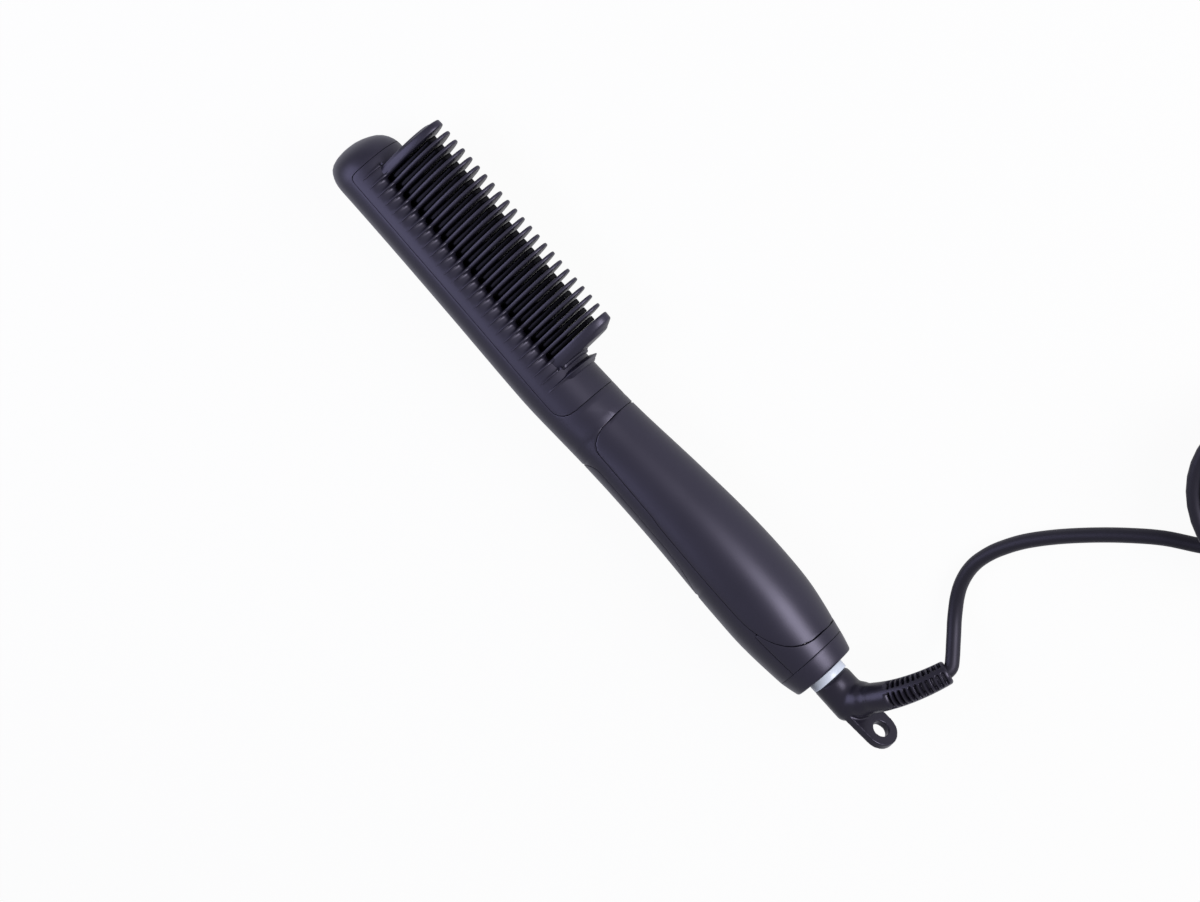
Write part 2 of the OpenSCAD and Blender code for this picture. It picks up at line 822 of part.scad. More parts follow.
// Slotted strain relief: rings on a core, joined by three spines
module strain_relief() {
    edge = 0.02;
    color(shell_black) at_rest() in_swivel() skin(concat(
        [relief_ring(0, branch_r, branch_r)],
        [
            for (i = [0:slots - 1], step = [[0, false], [edge, true], [slot_w - edge, true], [slot_w, false]])
            let (s = slot_first + i * slot_pitch - slot_w / 2 + step[0], r = relief_radius(s))
            relief_ring(s, step[1] ? slot_core_r : r, r)
        ],
        [
            for (a = [0:22.5:67.5])
            let (
                s = relief_len - relief_round * (1 - sin(a)),
                r = relief_radius(relief_len - relief_round) - relief_round * (1 - cos(a))
            )
            relief_ring(s, r, r)
        ]
    ));
}

// Cord

// Turns a point of the swivel's frame into the wand's frame
function raised(p) = [
    p[0],
    p[1] * cos(swivel_rest) - p[2] * sin(swivel_rest),
    p[1] * sin(swivel_rest) + p[2] * cos(swivel_rest)
];

cord_exit = raised(relief_point(relief_len));

// Height of layer n of the coil, and the coil's centre line at u turns from its start:
// it spirals in and out by turns and climbs in the half turn where the spiral reverses
function layer_rise(u) =
    let (n = round(u / turns_per_layer), d = u - n * turns_per_layer)
    n <= 0 || n >= coil_layers ? floor(u / turns_per_layer)
    : n - 1 + (d < -0.25 ? 0 : d > 0.25 ? 1 : (1 - cos(360 * (d + 0.25))) / 2);
function spiral_radius(u) =
    let (n = floor(u / turns_per_layer), d = u / turns_per_layer - n)
    coil_in_r + coil_pitch * turns_per_layer * (n % 2 == 0 ? 1 - d : d);
function coil_point(u) =
    let (a = coil_start + 360 * u, r = spiral_radius(u))
    [coil_x + r * cos(a), coil_y + r * sin(a), coil_z + coil_pitch * min(layer_rise(u), coil_layers - 1)];

coil_steps = floor(coil_turns * coil_rings);
coil_turn_list = [for (i = [0:coil_steps]) (coil_turns - 0.02) * i / coil_steps + 0.01];
coil_first = coil_point(0.01);
coil_last = coil_point(coil_turns - 0.01);
coil_in = coil_first - cord_d * [cos(coil_start + 90), sin(coil_start + 90), 0];
coil_out_heading = coil_start + 360 * coil_turns + 90;
coil_out = coil_last + cord_d * [cos(coil_out_heading), sin(coil_out_heading), 0];
coil_line = [coil_in, for (u = coil_turn_list) coil_point(u), coil_out];

// Least gap between the coil's turns, on the points of its centre line
function coil_gap() = min([
    for (i = [0:3:len(coil_line) - 1], j = [i + 12:1:len(coil_line) - 1]) norm(coil_line[i] - coil_line[j])
]) - cord_d;

cord_start = cord_exit + end_gap * raised(relief_dir(relief_len));
cord_end = coil_in - end_gap * [cos(coil_start + 90), sin(coil_start + 90), 0];
cord_line = smooth_path(concat([cord_start], cord_route, [cord_end]), 3);
lead_start = coil_out + end_gap * [cos(coil_out_heading), sin(coil_out_heading), 0];
lead_end = plug_start - end_gap * [cos(plug_heading), sin(plug_heading), 0];
lead_line = smooth_path(concat([lead_start], lead_route, [lead_end]), 3);
echo(coil_gap = coil_gap());
echo(cord_exit = cord_exit, coil_in = coil_in, coil_out = coil_out, coil_first = coil_first);
echo(lengths = [path_length(cord_line), path_length(coil_line), path_length(lead_line)]);

// Free stretch of the lead, from the strain relief to the coil
module cord() {
    color(cord_black) at_rest() tube(cord_line, cord_r, 8);
}

// The put-away length, wound in layers
module cord_coil() {
    color(cord_black) at_rest() tube(coil_line, cord_r, coil_sides);
}

// Band round the coil's turns
module coil_tie() {
    inner = sqrt(pow(coil_in_r - cord_r, 2) - pow(tie_w / 2, 2)) - tie_gap;
    outer = 2 * coil_mid_r - coil_in_r + cord_r + tie_gap;
    color(cord_black) at_rest() translate([coil_x, coil_y, 0]) rotate([0, 0, tie_angle]) difference() {
        block([inner - tie_t, -tie_w / 2, floor_z], [outer + tie_t, tie_w / 2, coil_top + tie_gap + tie_t]);
        block([inner, -tie_w, floor_z + tie_t], [outer, tie_w, coil_top + tie_gap]);
    }
}

// Short lead from the coil to the plug
module plug_lead() {
    color(cord_black) at_rest() tube(lead_line, cord_r, 8);
}

// The plug's frame: x along it from the end of the lead
module in_plug() {
    translate(plug_start) rotate([0, 0, plug_heading]) children();
}

// Ring of the plug's body at x, of the given half width and half height
function plug_ring(x, half_w, half_h) =
    [for (j = [0:23]) let (a = 360 * j / 24)
        [x, -half_w * sign(cos(a)) * pow(abs(cos(a)), 0.6), half_h * sign(sin(a)) * pow(abs(sin(a)), 0.6)]];

// Moulded plug with its tapered relief
module plug_body() {
    body = plug_relief_len;
    color(cord_black) at_rest() in_plug() skin([
        plug_ring(0, 3.4, 3.4), plug_ring(6, 3.8, 3.7), plug_ring(body - 4, 4.6, 4.4),
        plug_ring(body, 6.4, 5.6), plug_ring(body + 4, 8.8, 6.4), plug_ring(body + 14, 10.4, 6.6),
        plug_ring(body + 20, 11.4, 7.2), plug_ring(body + plug_len - 0.8, 11.6, 7.3),
        plug_ring(body + plug_len, 11, 6.7)
    ]);
}

// Two flat blades
module plug_blades() {
    start = plug_relief_len + plug_len;
    color(steel) at_rest() in_plug() for (side = [-1, 1]) difference() {
        block([start, side * 6.35 - 0.75, -3.15], [start + 17, side * 6.35 + 0.75, 3.15]);
        along_y(start + 13, side * 6.35 - 3) cylinder(h = 6, r = 1.6, $fn = 32);
    }
}

back_shell();
comb_cover();
handle_front_cover();
tail_bridge();
control_panel();
button_plate();
display_window();
power_button();
temperature_up_button();
temperature_down_button();
heater_comb();
heater_frame();
ceramic_heater();
mica_sheet();
heater_clamp();
heater_screws();
thermistor();
thermal_fuse();
heater_leads();
main_board();
display_module();
tact_switches();
board_components();
board_screws();
mains_leads();
end_cap();
swivel_bush();
brush_holder();
brush_contacts();
swivel_core();
retaining_clip();
slip_rings();
swivel_elbow();
strain_relief();
cord();
cord_coil();
coil_tie();
plug_lead();
plug_body();
plug_blades();
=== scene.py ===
"""Heated comb hair straightener on its swivel cord, dressed for a product picture.

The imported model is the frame. Each class below makes the pieces of one sub-assembly in the
wand's own sizes, which are millimetres counted from the tip of the head and from the long
axis, and the pieces land in the shared frame in metres.
"""

from __future__ import annotations

import json
import logging
import math
from contextlib import contextmanager
from dataclasses import dataclass, field
from enum import Enum
from typing import Callable, Iterable, Iterator, Sequence

import bpy
from mathutils import Matrix, Vector


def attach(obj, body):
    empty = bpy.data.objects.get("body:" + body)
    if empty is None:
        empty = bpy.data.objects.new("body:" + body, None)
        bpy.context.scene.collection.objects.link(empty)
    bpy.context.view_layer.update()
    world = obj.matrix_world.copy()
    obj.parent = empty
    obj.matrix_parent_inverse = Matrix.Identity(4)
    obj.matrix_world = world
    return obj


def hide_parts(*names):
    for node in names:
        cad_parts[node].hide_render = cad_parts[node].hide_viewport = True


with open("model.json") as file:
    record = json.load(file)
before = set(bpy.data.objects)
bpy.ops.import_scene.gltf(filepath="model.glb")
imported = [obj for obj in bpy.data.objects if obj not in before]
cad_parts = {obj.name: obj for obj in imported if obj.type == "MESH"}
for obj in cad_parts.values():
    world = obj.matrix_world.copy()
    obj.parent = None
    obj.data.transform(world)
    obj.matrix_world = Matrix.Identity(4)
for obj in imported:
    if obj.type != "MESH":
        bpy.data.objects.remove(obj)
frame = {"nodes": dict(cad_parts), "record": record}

log = logging.getLogger("straightener")

MM = 0.001
# The shared frame's origin and the head's middle, in the wand's frame
ORIGIN = Vector((152.46, 12.14, -18.0))
HEAD = Vector((65.9, -0.4, 0.0))
# How far the head leans from the handle's line, and where the swivel rests
HEAD_PITCH = math.radians(1.3)
SWIVEL_REST = math.radians(10.0)

Point = Sequence[float]
Key = tuple[float, float]
Colour = tuple[float, float, float]
Piece = bpy.types.Object


class Body(Enum):
    """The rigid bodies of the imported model."""

    WAND = "wand"
    SWIVEL = "swivel"
    POWER = "power_button"
    WARMER = "temperature_up_button"
    COOLER = "temperature_down_button"


# Frames


def at(point: Point) -> Vector:
    """Turns a point of the wand's frame, in millimetres, into the shared frame in metres."""
    return (Vector(point) - ORIGIN) * MM


def on_head(point: Point) -> Vector:
    """Turns a point of the pitched head's frame into the wand's frame, both in millimetres."""
    return HEAD + Matrix.Rotation(-HEAD_PITCH, 3, "Z") @ Vector(point)


def along_head(length: float) -> Vector:
    """Step of that length along the head's own axis, in the wand's frame."""
    return on_head((length, 0, 0)) - on_head((0, 0, 0))


def on_swivel(point: Point) -> Vector:
    """Turns a point of the swivel's frame into the wand's frame, both in millimetres."""
    return Matrix.Rotation(SWIVEL_REST, 3, "X") @ Vector(point)


# Curves


def smooth_step(t: float) -> float:
    """Eases from 0 to 1.

    Args:
        t: Place along the step; values outside 0 to 1 are held at its ends.

    Returns:
        The eased value.
    """
    t = min(1.0, max(0.0, t))
    return t * t * (3.0 - 2.0 * t)


def smooth(keys: Sequence[Key], x: float) -> float:
    """Reads a smooth curve through keys.

    Args:
        keys: Pairs of place and value, in rising order of place.
        x: Place to read at.

    Returns:
        The curve's value at x.
    """
    last = len(keys) - 1
    i = 0
    while i < last - 1 and x >= keys[i + 1][0]:
        i += 1

    def slope(k: int) -> float:
        """Slope of the curve at key k, flat at both ends."""
        if k <= 0 or k >= last:
            return 0.0
        return (keys[k + 1][1] - keys[k - 1][1]) / (keys[k + 1][0] - keys[k - 1][0])

    span = keys[i + 1][0] - keys[i][0]
    t = (x - keys[i][0]) / span
    a, b = slope(i) * span, slope(i + 1) * span
    p, q = keys[i][1], keys[i + 1][1]
    return p + a * t + (3 * (q - p) - 2 * a - b) * t * t + (2 * (p - q) + a + b) * t**3


def smooth_path(points: Sequence[Point], steps: int) -> list[Vector]:
    """Draws a smooth path through given points.

    Args:
        points: The points that the path passes through.
        steps: Number of steps between two points.

    Returns:
        The points of the path.
    """
    p = [Vector(point) for point in points]
    last = len(p) - 1
    path = []
    for i in range(last):
        a, b, c, d = p[max(i - 1, 0)], p[i], p[i + 1], p[min(i + 2, last)]
        slope, curve, twist = c - a, 2 * a - 5 * b + 4 * c - d, 3 * b - a - 3 * c + d
        for t in (k / steps for k in range(steps)):
            path.append(0.5 * (2 * b + slope * t + curve * t * t + twist * t**3))
    return path + [p[last]]


def columns_through(marks: Iterable[float], step: float) -> list[float]:
    """Fills the gaps between marks so that no gap is wider than a step.

    Args:
        marks: Places that have to be in the result.
        step: Widest gap that may be left.

    Returns:
        The marks and the places between them, in rising order.
    """
    ordered = sorted(set(round(m, 4) for m in marks))
    filled = [ordered[0]]
    for a, b in zip(ordered, ordered[1:]):
        count = max(1, math.ceil((b - a) / step))
        filled += [a + (b - a) * k / count for k in range(1, count + 1)]
    return filled


def corner_marks(edge: float, reach: float, steps: int = 5) -> list[float]:
    """Places that draw one round corner of a panel.

    Args:
        edge: Where the corner starts, at the panel's end.
        reach: Length of the corner from that end, negative towards smaller places.
        steps: Number of steps round the corner.

    Returns:
        The places, from the panel's end inwards. The first step is a wide one, because the
        corner is steep there.
    """
    first, quarter = math.radians(22), math.pi / 2
    angles = [0.0] + [first + (quarter - first) * k / (steps - 1) for k in range(steps)]
    return [edge + reach * (1 - math.cos(a)) for a in angles]


def arc(middle: Key, r: float, first: float, last: float, steps: int) -> list[Key]:
    """Draws an arc in two directions.

    Args:
        middle: Its middle.
        r: Radius.
        first: Where it starts, in degrees from the first direction.
        last: Where it ends.
        steps: Number of steps.

    Returns:
        The points of the arc.
    """
    turns = [math.radians(first + (last - first) * k / steps) for k in range(steps + 1)]
    return [(middle[0] + r * math.cos(a), middle[1] + r * math.sin(a)) for a in turns]


def round_box(across: Key, up: Key, r: float) -> list[Key]:
    """Draws a box with round corners.

    Args:
        across: The box's two ends in its first direction.
        up: Its two ends in the second direction.
        r: Radius of the corners.

    Returns:
        The outline, from the far end of both directions on.
    """
    outline = []
    for turn, (i, j) in enumerate(((1, 1), (0, 1), (0, 0), (1, 0))):
        middle = across[i] - r if i else across[i] + r, up[j] - r if j else up[j] + r
        outline += arc(middle, r, 90 * turn, 90 * turn + 90, 8)
    return outline


# Work at the bench


def put_down() -> None:
    """Goes back to object mode with nothing selected."""
    if bpy.context.object and bpy.context.object.mode != "OBJECT":
        bpy.ops.object.mode_set(mode="OBJECT")
    bpy.ops.object.select_all(action="DESELECT")


def pick_up(*pieces: Piece) -> None:
    """Selects pieces and makes the first of them active."""
    put_down()
    for piece in pieces:
        piece.select_set(True)
    bpy.context.view_layer.objects.active = pieces[0]


@contextmanager
def opened(piece: Piece, select: str | None = "SELECT") -> Iterator[None]:
    """Opens a piece's mesh in edit mode and closes it afterwards.

    Args:
        piece: Mesh object to open.
        select: What happens to the selection first, or None to leave it.

    Yields:
        Nothing; the mesh is open meanwhile.
    """
    pick_up(piece)
    bpy.ops.object.mode_set(mode="EDIT")
    if select:
        bpy.ops.mesh.select_all(action=select)
    yield
    bpy.ops.object.mode_set(mode="OBJECT")


def in_hand(name: str) -> Piece:
    """Names the piece that was just added.

    Args:
        name: Name of the object and of its data.

    Returns:
        The piece.
    """
    piece = bpy.context.object
    piece.name = piece.data.name = name
    return piece


def modify(piece: Piece, kind: str, **settings: object) -> Piece:
    """Adds a modifier to a piece and applies it.

    Args:
        piece: Mesh object to change.
        kind: Blender's name of the modifier's type.
        **settings: Values of the modifier's properties.

    Returns:
        The same piece.
    """
    pick_up(piece)
    modifier = piece.modifiers.new(kind.lower(), kind)
    for name, value in settings.items():
        setattr(modifier, name, value)
    bpy.ops.object.modifier_apply(modifier=modifier.name)
    return piece


def fuse(piece: Piece, tool: Piece, operation: str = "UNION") -> None:
    """Joins a tool's shape to a piece, or cuts it out, and throws the tool away.

    Args:
        piece: Closed mesh object to change.
        tool: Closed mesh object of the shape.
        operation: Blender's name of the boolean operation.
    """
    modify(piece, "BOOLEAN", object=tool, operation=operation, solver="MANIFOLD")
    bpy.data.objects.remove(tool)


def cut(piece: Piece, tool: Piece) -> None:
    """Cuts a tool's shape out of a piece and throws the tool away."""
    fuse(piece, tool, "DIFFERENCE")


def close_up(piece: Piece, weld: float = 1e-7) -> Piece:
    """Welds a piece's doubles and turns its faces outwards.

    Args:
        piece: Closed mesh object.
        weld: Distance in metres within which points are doubles.

    Returns:
        The same piece.
    """
    with opened(piece):
        bpy.ops.mesh.remove_doubles(threshold=weld)
        bpy.ops.mesh.normals_make_consistent(inside=False)
    return piece


def face_out(piece: Piece, axis: Callable[[Vector], Vector]) -> Piece:
    """Turns an open skin's faces away from the axis that runs inside it.

    Args:
        piece: Mesh object of one skin.
        axis: Gives the point of the inner axis beside a point.

    Returns:
        The same piece.
    """
    faces = piece.data.polygons
    inwards = sum((f.center - axis(f.center)).dot(f.normal) < 0 for f in faces)
    if inwards > len(faces) / 2:
        with opened(piece):
            bpy.ops.mesh.flip_normals()
    return piece


def shade(piece: Piece, angle: float) -> Piece:
    """Shades a piece smooth, apart from its sharper edges.

    Args:
        piece: Mesh object to shade.
        angle: Least angle of an edge that stays sharp, in degrees.

    Returns:
        The same piece.
    """
    pick_up(piece)
    bpy.ops.object.shade_smooth_by_angle(angle=math.radians(angle))
    return piece


def soften(piece: Piece, width: float, segments: int = 2, angle: float = 35) -> Piece:
    """Rounds a piece's sharp edges and shades it smooth.

    Args:
        piece: Mesh object to finish.
        width: Width of the rounding in millimetres.
        segments: Number of faces across the rounding.
        angle: Least angle of an edge that is rounded, in degrees.

    Returns:
        The same piece.
    """
    rounding = {"width": width * MM, "segments": segments, "angle_limit": math.radians(angle)}
    modify(piece, "BEVEL", limit_method="ANGLE", miter_outer="MITER_ARC", **rounding)
    return shade(piece, angle + 10)


def join(name: str, pieces: Sequence[Piece]) -> Piece:
    """Joins pieces into one.

    Args:
        name: Name of the joined piece.
        pieces: The pieces, of which the first takes up the others.

    Returns:
        The joined piece.
    """
    pick_up(*pieces)
    if len(pieces) > 1:
        bpy.ops.object.join()
    return in_hand(name)


def copy_of(piece: Piece, shift: Vector) -> Piece:
    """Copies a piece with a mesh of its own.

    Args:
        piece: Mesh object to copy.
        shift: How far the copy is moved, in metres.

    Returns:
        The copy.
    """
    copy = piece.copy()
    copy.data = piece.data.copy()
    copy.data.transform(Matrix.Translation(shift))
    bpy.context.collection.objects.link(copy)
    return copy


def moulded_grid(
    name: str,
    columns: int,
    rows: int,
    place: Callable[[int, int], Vector],
    open_at: Callable[[int, int], bool] | None = None,
) -> Piece:
    """Adds a grid, cuts its openings and moulds it over a form.

    Args:
        name: Name of the new object.
        columns: Number of faces along the grid's first side.
        rows: Number of faces along its second side.
        place: Gives the point of the wand's frame for a column line and a row line.
        open_at: True for the faces, by column and row, that are cut away.

    Returns:
        The new object, with its doubles welded.
    """
    put_down()
    bpy.ops.mesh.primitive_grid_add(x_subdivisions=columns, y_subdivisions=rows, size=2)
    piece = in_hand(name)
    mesh = piece.data
    lines = [(k % (columns + 1), k // (columns + 1)) for k in range(len(mesh.vertices))]
    for vertex, (i, j) in zip(mesh.vertices, lines):
        vertex.co = at(place(i, j))
    if open_at:
        with opened(piece, "DESELECT"):
            bpy.ops.mesh.select_mode(type="FACE")
        for face in mesh.polygons:
            corner = [lines[v] for v in face.vertices]
            face.select = open_at(min(c[0] for c in corner), min(c[1] for c in corner))
        with opened(piece, None):
            bpy.ops.mesh.delete(type="FACE")
            bpy.ops.mesh.select_mode(type="VERT")
    return close_up(piece)


def loft(name: str, rings: Sequence[Sequence[Point]], angle: float | None = None) -> Piece:
    """Moulds a grid into a closed solid through rings.

    Args:
        name: Name of the new object.
        rings: Rings of equal numbers of points in the wand's frame, in millimetres.
        angle: Edges sharper than this many degrees stay sharp, or None to leave it unshaded.

    Returns:
        The closed solid.
    """
    sides = len(rings[0])
    ends = [sum((Vector(p) for p in ring), Vector()) / sides for ring in (rings[0], rings[-1])]

    def place(i: int, j: int) -> Vector:
        """Point of ring i - 1, or the middle of an end ring beyond it."""
        if 0 < i <= len(rings):
            return Vector(rings[i - 1][j % sides])
        return ends[0] if i == 0 else ends[1]

    piece = moulded_grid(name, len(rings) + 1, sides, place)
    return shade(piece, angle) if angle else piece


def outlined(name: str, points: Sequence[Point], fill: str) -> Piece:
    """Adds a ring and draws it through points.

    Args:
        name: Name of the new object.
        points: Points in the wand's frame, in millimetres.
        fill: NGON for a face inside the ring, or NOTHING.

    Returns:
        The new object.
    """
    put_down()
    bpy.ops.mesh.primitive_circle_add(vertices=len(points), fill_type=fill)
    piece = in_hand(name)
    for vertex, point in zip(piece.data.vertices, points):
        vertex.co = at(point)
    return piece


def turned(
    name: str, profile: Sequence[Key], steps: int = 96, foot: float = 0.0, axis: Point = (1, 0, 0)
) -> Piece:
    """Spins a closed profile about an axis.

    Args:
        name: Name of the new object.
        profile: Corners of the profile by x and y in the wand's frame, in millimetres.
        steps: Number of steps round the axis.
        foot: The x at which the axis stands on the wand's long axis, or 0 for that axis itself.
        axis: Direction of the axis.

    Returns:
        The turned solid.
    """
    piece = outlined(name, [(x, y, 0.0) for x, y in profile], "NOTHING")
    with opened(piece):
        bpy.ops.mesh.spin(
            steps=steps, angle=2 * math.pi, center=at((foot, 0, 0)), axis=axis, use_auto_merge=True
        )
    return close_up(piece, 1e-6)


def plate(name: str, outline: Sequence[Point], depth: Vector, fill: str = "NGON") -> Piece:
    """Extrudes an outline.

    Args:
        name: Name of the new object.
        outline: Corners of the outline in the wand's frame, in millimetres.
        depth: How far and which way the outline is extruded, in millimetres.
        fill: NGON for a closed plate, or NOTHING for a band without faces at its ends.

    Returns:
        The plate or the band.
    """
    piece = outlined(name, outline, fill)
    with opened(piece):
        bpy.ops.mesh.extrude_region_move(TRANSFORM_OT_translate={"value": depth * MM})
        bpy.ops.mesh.select_all(action="SELECT")
        bpy.ops.mesh.normals_make_consistent(inside=False)
    return piece


def peg(name: str, start: Point, end: Point, radius: float, sides: int = 32) -> Piece:
    """Adds a round peg.

    Args:
        name: Name of the new object.
        start: Middle of one end in the wand's frame, in millimetres.
        end: Middle of the other end.
        radius: Radius in millimetres.
        sides: Number of faces round the peg.

    Returns:
        The closed peg.
    """
    a, b = at(start), at(end)
    put_down()
    bpy.ops.mesh.primitive_cylinder_add(
        vertices=sides,
        radius=radius * MM,
        depth=(b - a).length,
        location=(a + b) / 2,
        rotation=(b - a).to_track_quat("Z", "Y").to_euler(),
    )
    bpy.ops.object.transform_apply(location=True, rotation=True, scale=True)
    return in_hand(name)


# Finishes


def feed(
    tree: bpy.types.NodeTree, node: bpy.types.Node, feeds: dict[str | int, object]
) -> bpy.types.Node:
    """Fills a node's inputs.

    Args:
        tree: The node's tree.
        node: The node.
        feeds: For each input, the socket that is joined to it or the plain value that it has.

    Returns:
        The same node.
    """
    for key, value in feeds.items():
        if isinstance(value, bpy.types.NodeSocket):
            tree.links.new(value, node.inputs[key])
        else:
            node.inputs[key].default_value = value
    return node


def add_node(
    tree: bpy.types.NodeTree, kind: str, feeds: dict[str | int, object], **settings: object
) -> bpy.types.Node:
    """Adds a shader node.

    Args:
        tree: The tree that it goes into.
        kind: Blender's name of the node's type, without its prefix.
        feeds: What its inputs are joined to or set to.
        **settings: Values of the node's own properties.

    Returns:
        The new node.
    """
    node = tree.nodes.new("ShaderNode" + kind)
    for name, value in settings.items():
        setattr(node, name, value)
    return feed(tree, node, feeds)


def reckon(
    tree: bpy.types.NodeTree, operation: str, *terms: bpy.types.NodeSocket | float
) -> bpy.types.NodeSocket:
    """Adds a Math node over sockets and plain numbers, and gives its result."""
    node = add_node(tree, "Math", dict(enumerate(terms)), operation=operation)
    return node.outputs["Value"]


def moulded_grain() -> bpy.types.NodeTree:
    """Builds the node group of fine grain, soft mottling and faint rubbed patches.

    Returns:
        The group, with inputs Colour, Roughness, Grain and Mottle and outputs Colour,
        Roughness and Height.
    """
    group = bpy.data.node_groups.new("moulded_grain", "ShaderNodeTree")
    kinds = {"Colour": "Color", "Roughness": "Float", "Grain": "Float", "Mottle": "Float"}
    for name, kind in kinds.items():
        group.interface.new_socket(name, in_out="INPUT", socket_type="NodeSocket" + kind)
    for name, kind in {"Colour": "Color", "Roughness": "Float", "Height": "Float"}.items():
        group.interface.new_socket(name, in_out="OUTPUT", socket_type="NodeSocket" + kind)
    given = group.nodes.new("NodeGroupInput").outputs
    result = group.nodes.new("NodeGroupOutput")
    place = add_node(group, "TexCoord", {}).outputs["Object"]

    grain = {"Vector": place, "Scale": given["Grain"], "Detail": 3.0, "Roughness": 0.6}
    fine = add_node(group, "TexNoise", grain).outputs["Fac"]
    patches = {"Vector": place, "Scale": 38.0, "Detail": 4.0}
    broad = add_node(group, "TexNoise", patches).outputs["Fac"]
    spread = {"Value": broad, "From Min": 0.3, "From Max": 0.7, "To Min": -1.0, "To Max": 1.0}
    swing = add_node(group, "MapRange", spread).outputs["Result"]
    amount = reckon(group, "MULTIPLY", swing, given["Mottle"])

    gain = reckon(group, "ADD", amount, 1.0)
    mix = {"Factor": 1.0, "A": given["Colour"], "B": gain}
    tint = add_node(group, "Mix", mix, data_type="RGBA", blend_type="MULTIPLY").outputs["Result"]
    rough = reckon(group, "MULTIPLY_ADD", amount, 0.35, given["Roughness"])
    feed(group, result, {"Colour": tint, "Roughness": rough, "Height": fine})
    return group


@dataclass(frozen=True)
class Finish:
    """One moulded, painted or metal finish with its grain.

    Attributes:
        name: Name of the material.
        colour: Base colour, linear.
        roughness: Mean roughness.
        metallic: 1 for bare metal.
        grain: Scale of the fine grain, in grains per metre.
        depth: Depth of the fine grain in millimetres.
        mottle: Share by which the colour varies over the surface.
        coat: Weight of a clear coat.
        sheen: Weight of a soft sheen, as on rubber.
        specular: Strength of the plain reflection.
        tint: Colour of the plain reflection.
    """

    name: str
    colour: Colour
    roughness: float
    metallic: float = 0.0
    grain: float = 2600.0
    depth: float = 0.012
    mottle: float = 0.06
    coat: float = 0.0
    sheen: float = 0.0
    specular: float = 0.5
    tint: Colour = (1.0, 1.0, 1.0)

    def material(self, grain_group: bpy.types.NodeTree) -> bpy.types.Material:
        """Builds the material.

        Args:
            grain_group: The shared group of fine grain and mottling.

        Returns:
            The finished material.
        """
        material = bpy.data.materials.new(self.name)
        material.use_nodes = True
        tree = material.node_tree
        flat = (*self.colour, 1.0)
        given = {
            "Colour": flat, "Roughness": self.roughness, "Grain": self.grain, "Mottle": self.mottle
        }
        grain = tree.nodes.new("ShaderNodeGroup")
        grain.node_tree = grain_group
        grown = feed(tree, grain, given).outputs
        dents = {"Strength": 0.35, "Distance": self.depth * MM, "Height": grown["Height"]}
        feeds = {
            "Base Color": grown["Colour"],
            "Roughness": grown["Roughness"],
            "Normal": add_node(tree, "Bump", dents).outputs["Normal"],
            "Metallic": self.metallic,
            "Specular IOR Level": self.specular,
            "Specular Tint": (*self.tint, 1.0),
            "Coat Weight": self.coat,
            "Coat Roughness": 0.06,
            "Sheen Weight": self.sheen,
            "Sheen Roughness": 0.6,
        }
        feed(tree, tree.nodes["Principled BSDF"], feeds)
        material.diffuse_color = flat
        return material


class Palette:
    """The materials of the straightener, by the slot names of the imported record."""

    def __init__(self) -> None:
        """Builds each finish once."""
        grain = moulded_grain()
        dark, lead_black = (0.012, 0.011, 0.02), (0.007, 0.0065, 0.011)
        violet = {"tint": (0.8, 0.76, 1.0)}
        metal = {"metallic": 1.0, "grain": 1500, "mottle": 0.08}
        finishes = {
            "shell_plastic": Finish("satin_shell", dark, 0.4, depth=0.005, specular=0.6, **violet),
            "button_plastic": Finish("button_satin", (0.024, 0.023, 0.032), 0.36, **violet),
            "gloss_panel": Finish("gloss_black", (0.004, 0.004, 0.006), 0.08, mottle=0.02, coat=0.4),
            "hot_coating": Finish(
                "hot_enamel", (0.0012, 0.0012, 0.0015), 0.2, depth=0.0005, specular=0.1, **violet
            ),
            "swivel_plastic": Finish(
                "satin_swivel", (0.01, 0.009, 0.015), 0.34, depth=0.004, **violet
            ),
            "collar_plastic": Finish("white_collar", (0.62, 0.68, 0.78), 0.3, mottle=0.02),
            "cord_rubber": Finish(
                "cord_rubber", lead_black, 0.5, grain=3600, sheen=0.02, specular=0.4, **violet
            ),
            "heat_frame": Finish("heat_frame", (0.25, 0.24, 0.22), 0.7, grain=1800, depth=0.04),
            "ceramic": Finish("fired_ceramic", (0.78, 0.76, 0.7), 0.62, grain=2200, depth=0.03),
            "mica": Finish("mica", (0.52, 0.43, 0.27), 0.38, grain=900, mottle=0.2),
            "steel": Finish("steel", (0.56, 0.56, 0.58), 0.3, **metal),
            "brass": Finish("brass", (0.78, 0.6, 0.32), 0.25, **metal),
            "wire": Finish("silicone_wire", (0.5, 0.05, 0.04), 0.5, mottle=0.1),
            "board": Finish("circuit_board", (0.02, 0.12, 0.05), 0.42, grain=700, mottle=0.18),
            "components": Finish("component_case", (0.03, 0.03, 0.034), 0.45, mottle=0.12),
        }
        self.slots = {slot: finish.material(grain) for slot, finish in finishes.items()}

    def dress(self, piece: Piece, slot: str) -> None:
        """Gives a piece its material."""
        piece.data.materials.clear()
        piece.data.materials.append(self.slots[slot])

    def hand_over(self, piece: Piece, slot: str, body: Body, *nodes: str) -> Piece:
        """Dresses a finished piece and gives it to the body it rides on.

        Args:
            piece: The finished piece, in place.
            slot: Material slot of the record.
            body: Body that carries the piece.
            *nodes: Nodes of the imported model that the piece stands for.

        Returns:
            The same piece.
        """
        self.dress(piece, slot)
        if nodes:
            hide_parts(*nodes)
        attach(piece, body.value)
        log.info("%s: %d faces", piece.name, len(getattr(piece.data, "polygons", [])))
        return piece

    def dress_hidden(self) -> None:
        """Gives every node that is still shown its material."""
        for sub in frame["record"]["subparts"]:
            node = frame["nodes"][sub["node"]]
            if not node.hide_render:
                self.dress(node, sub["material_slot"])


# Housing


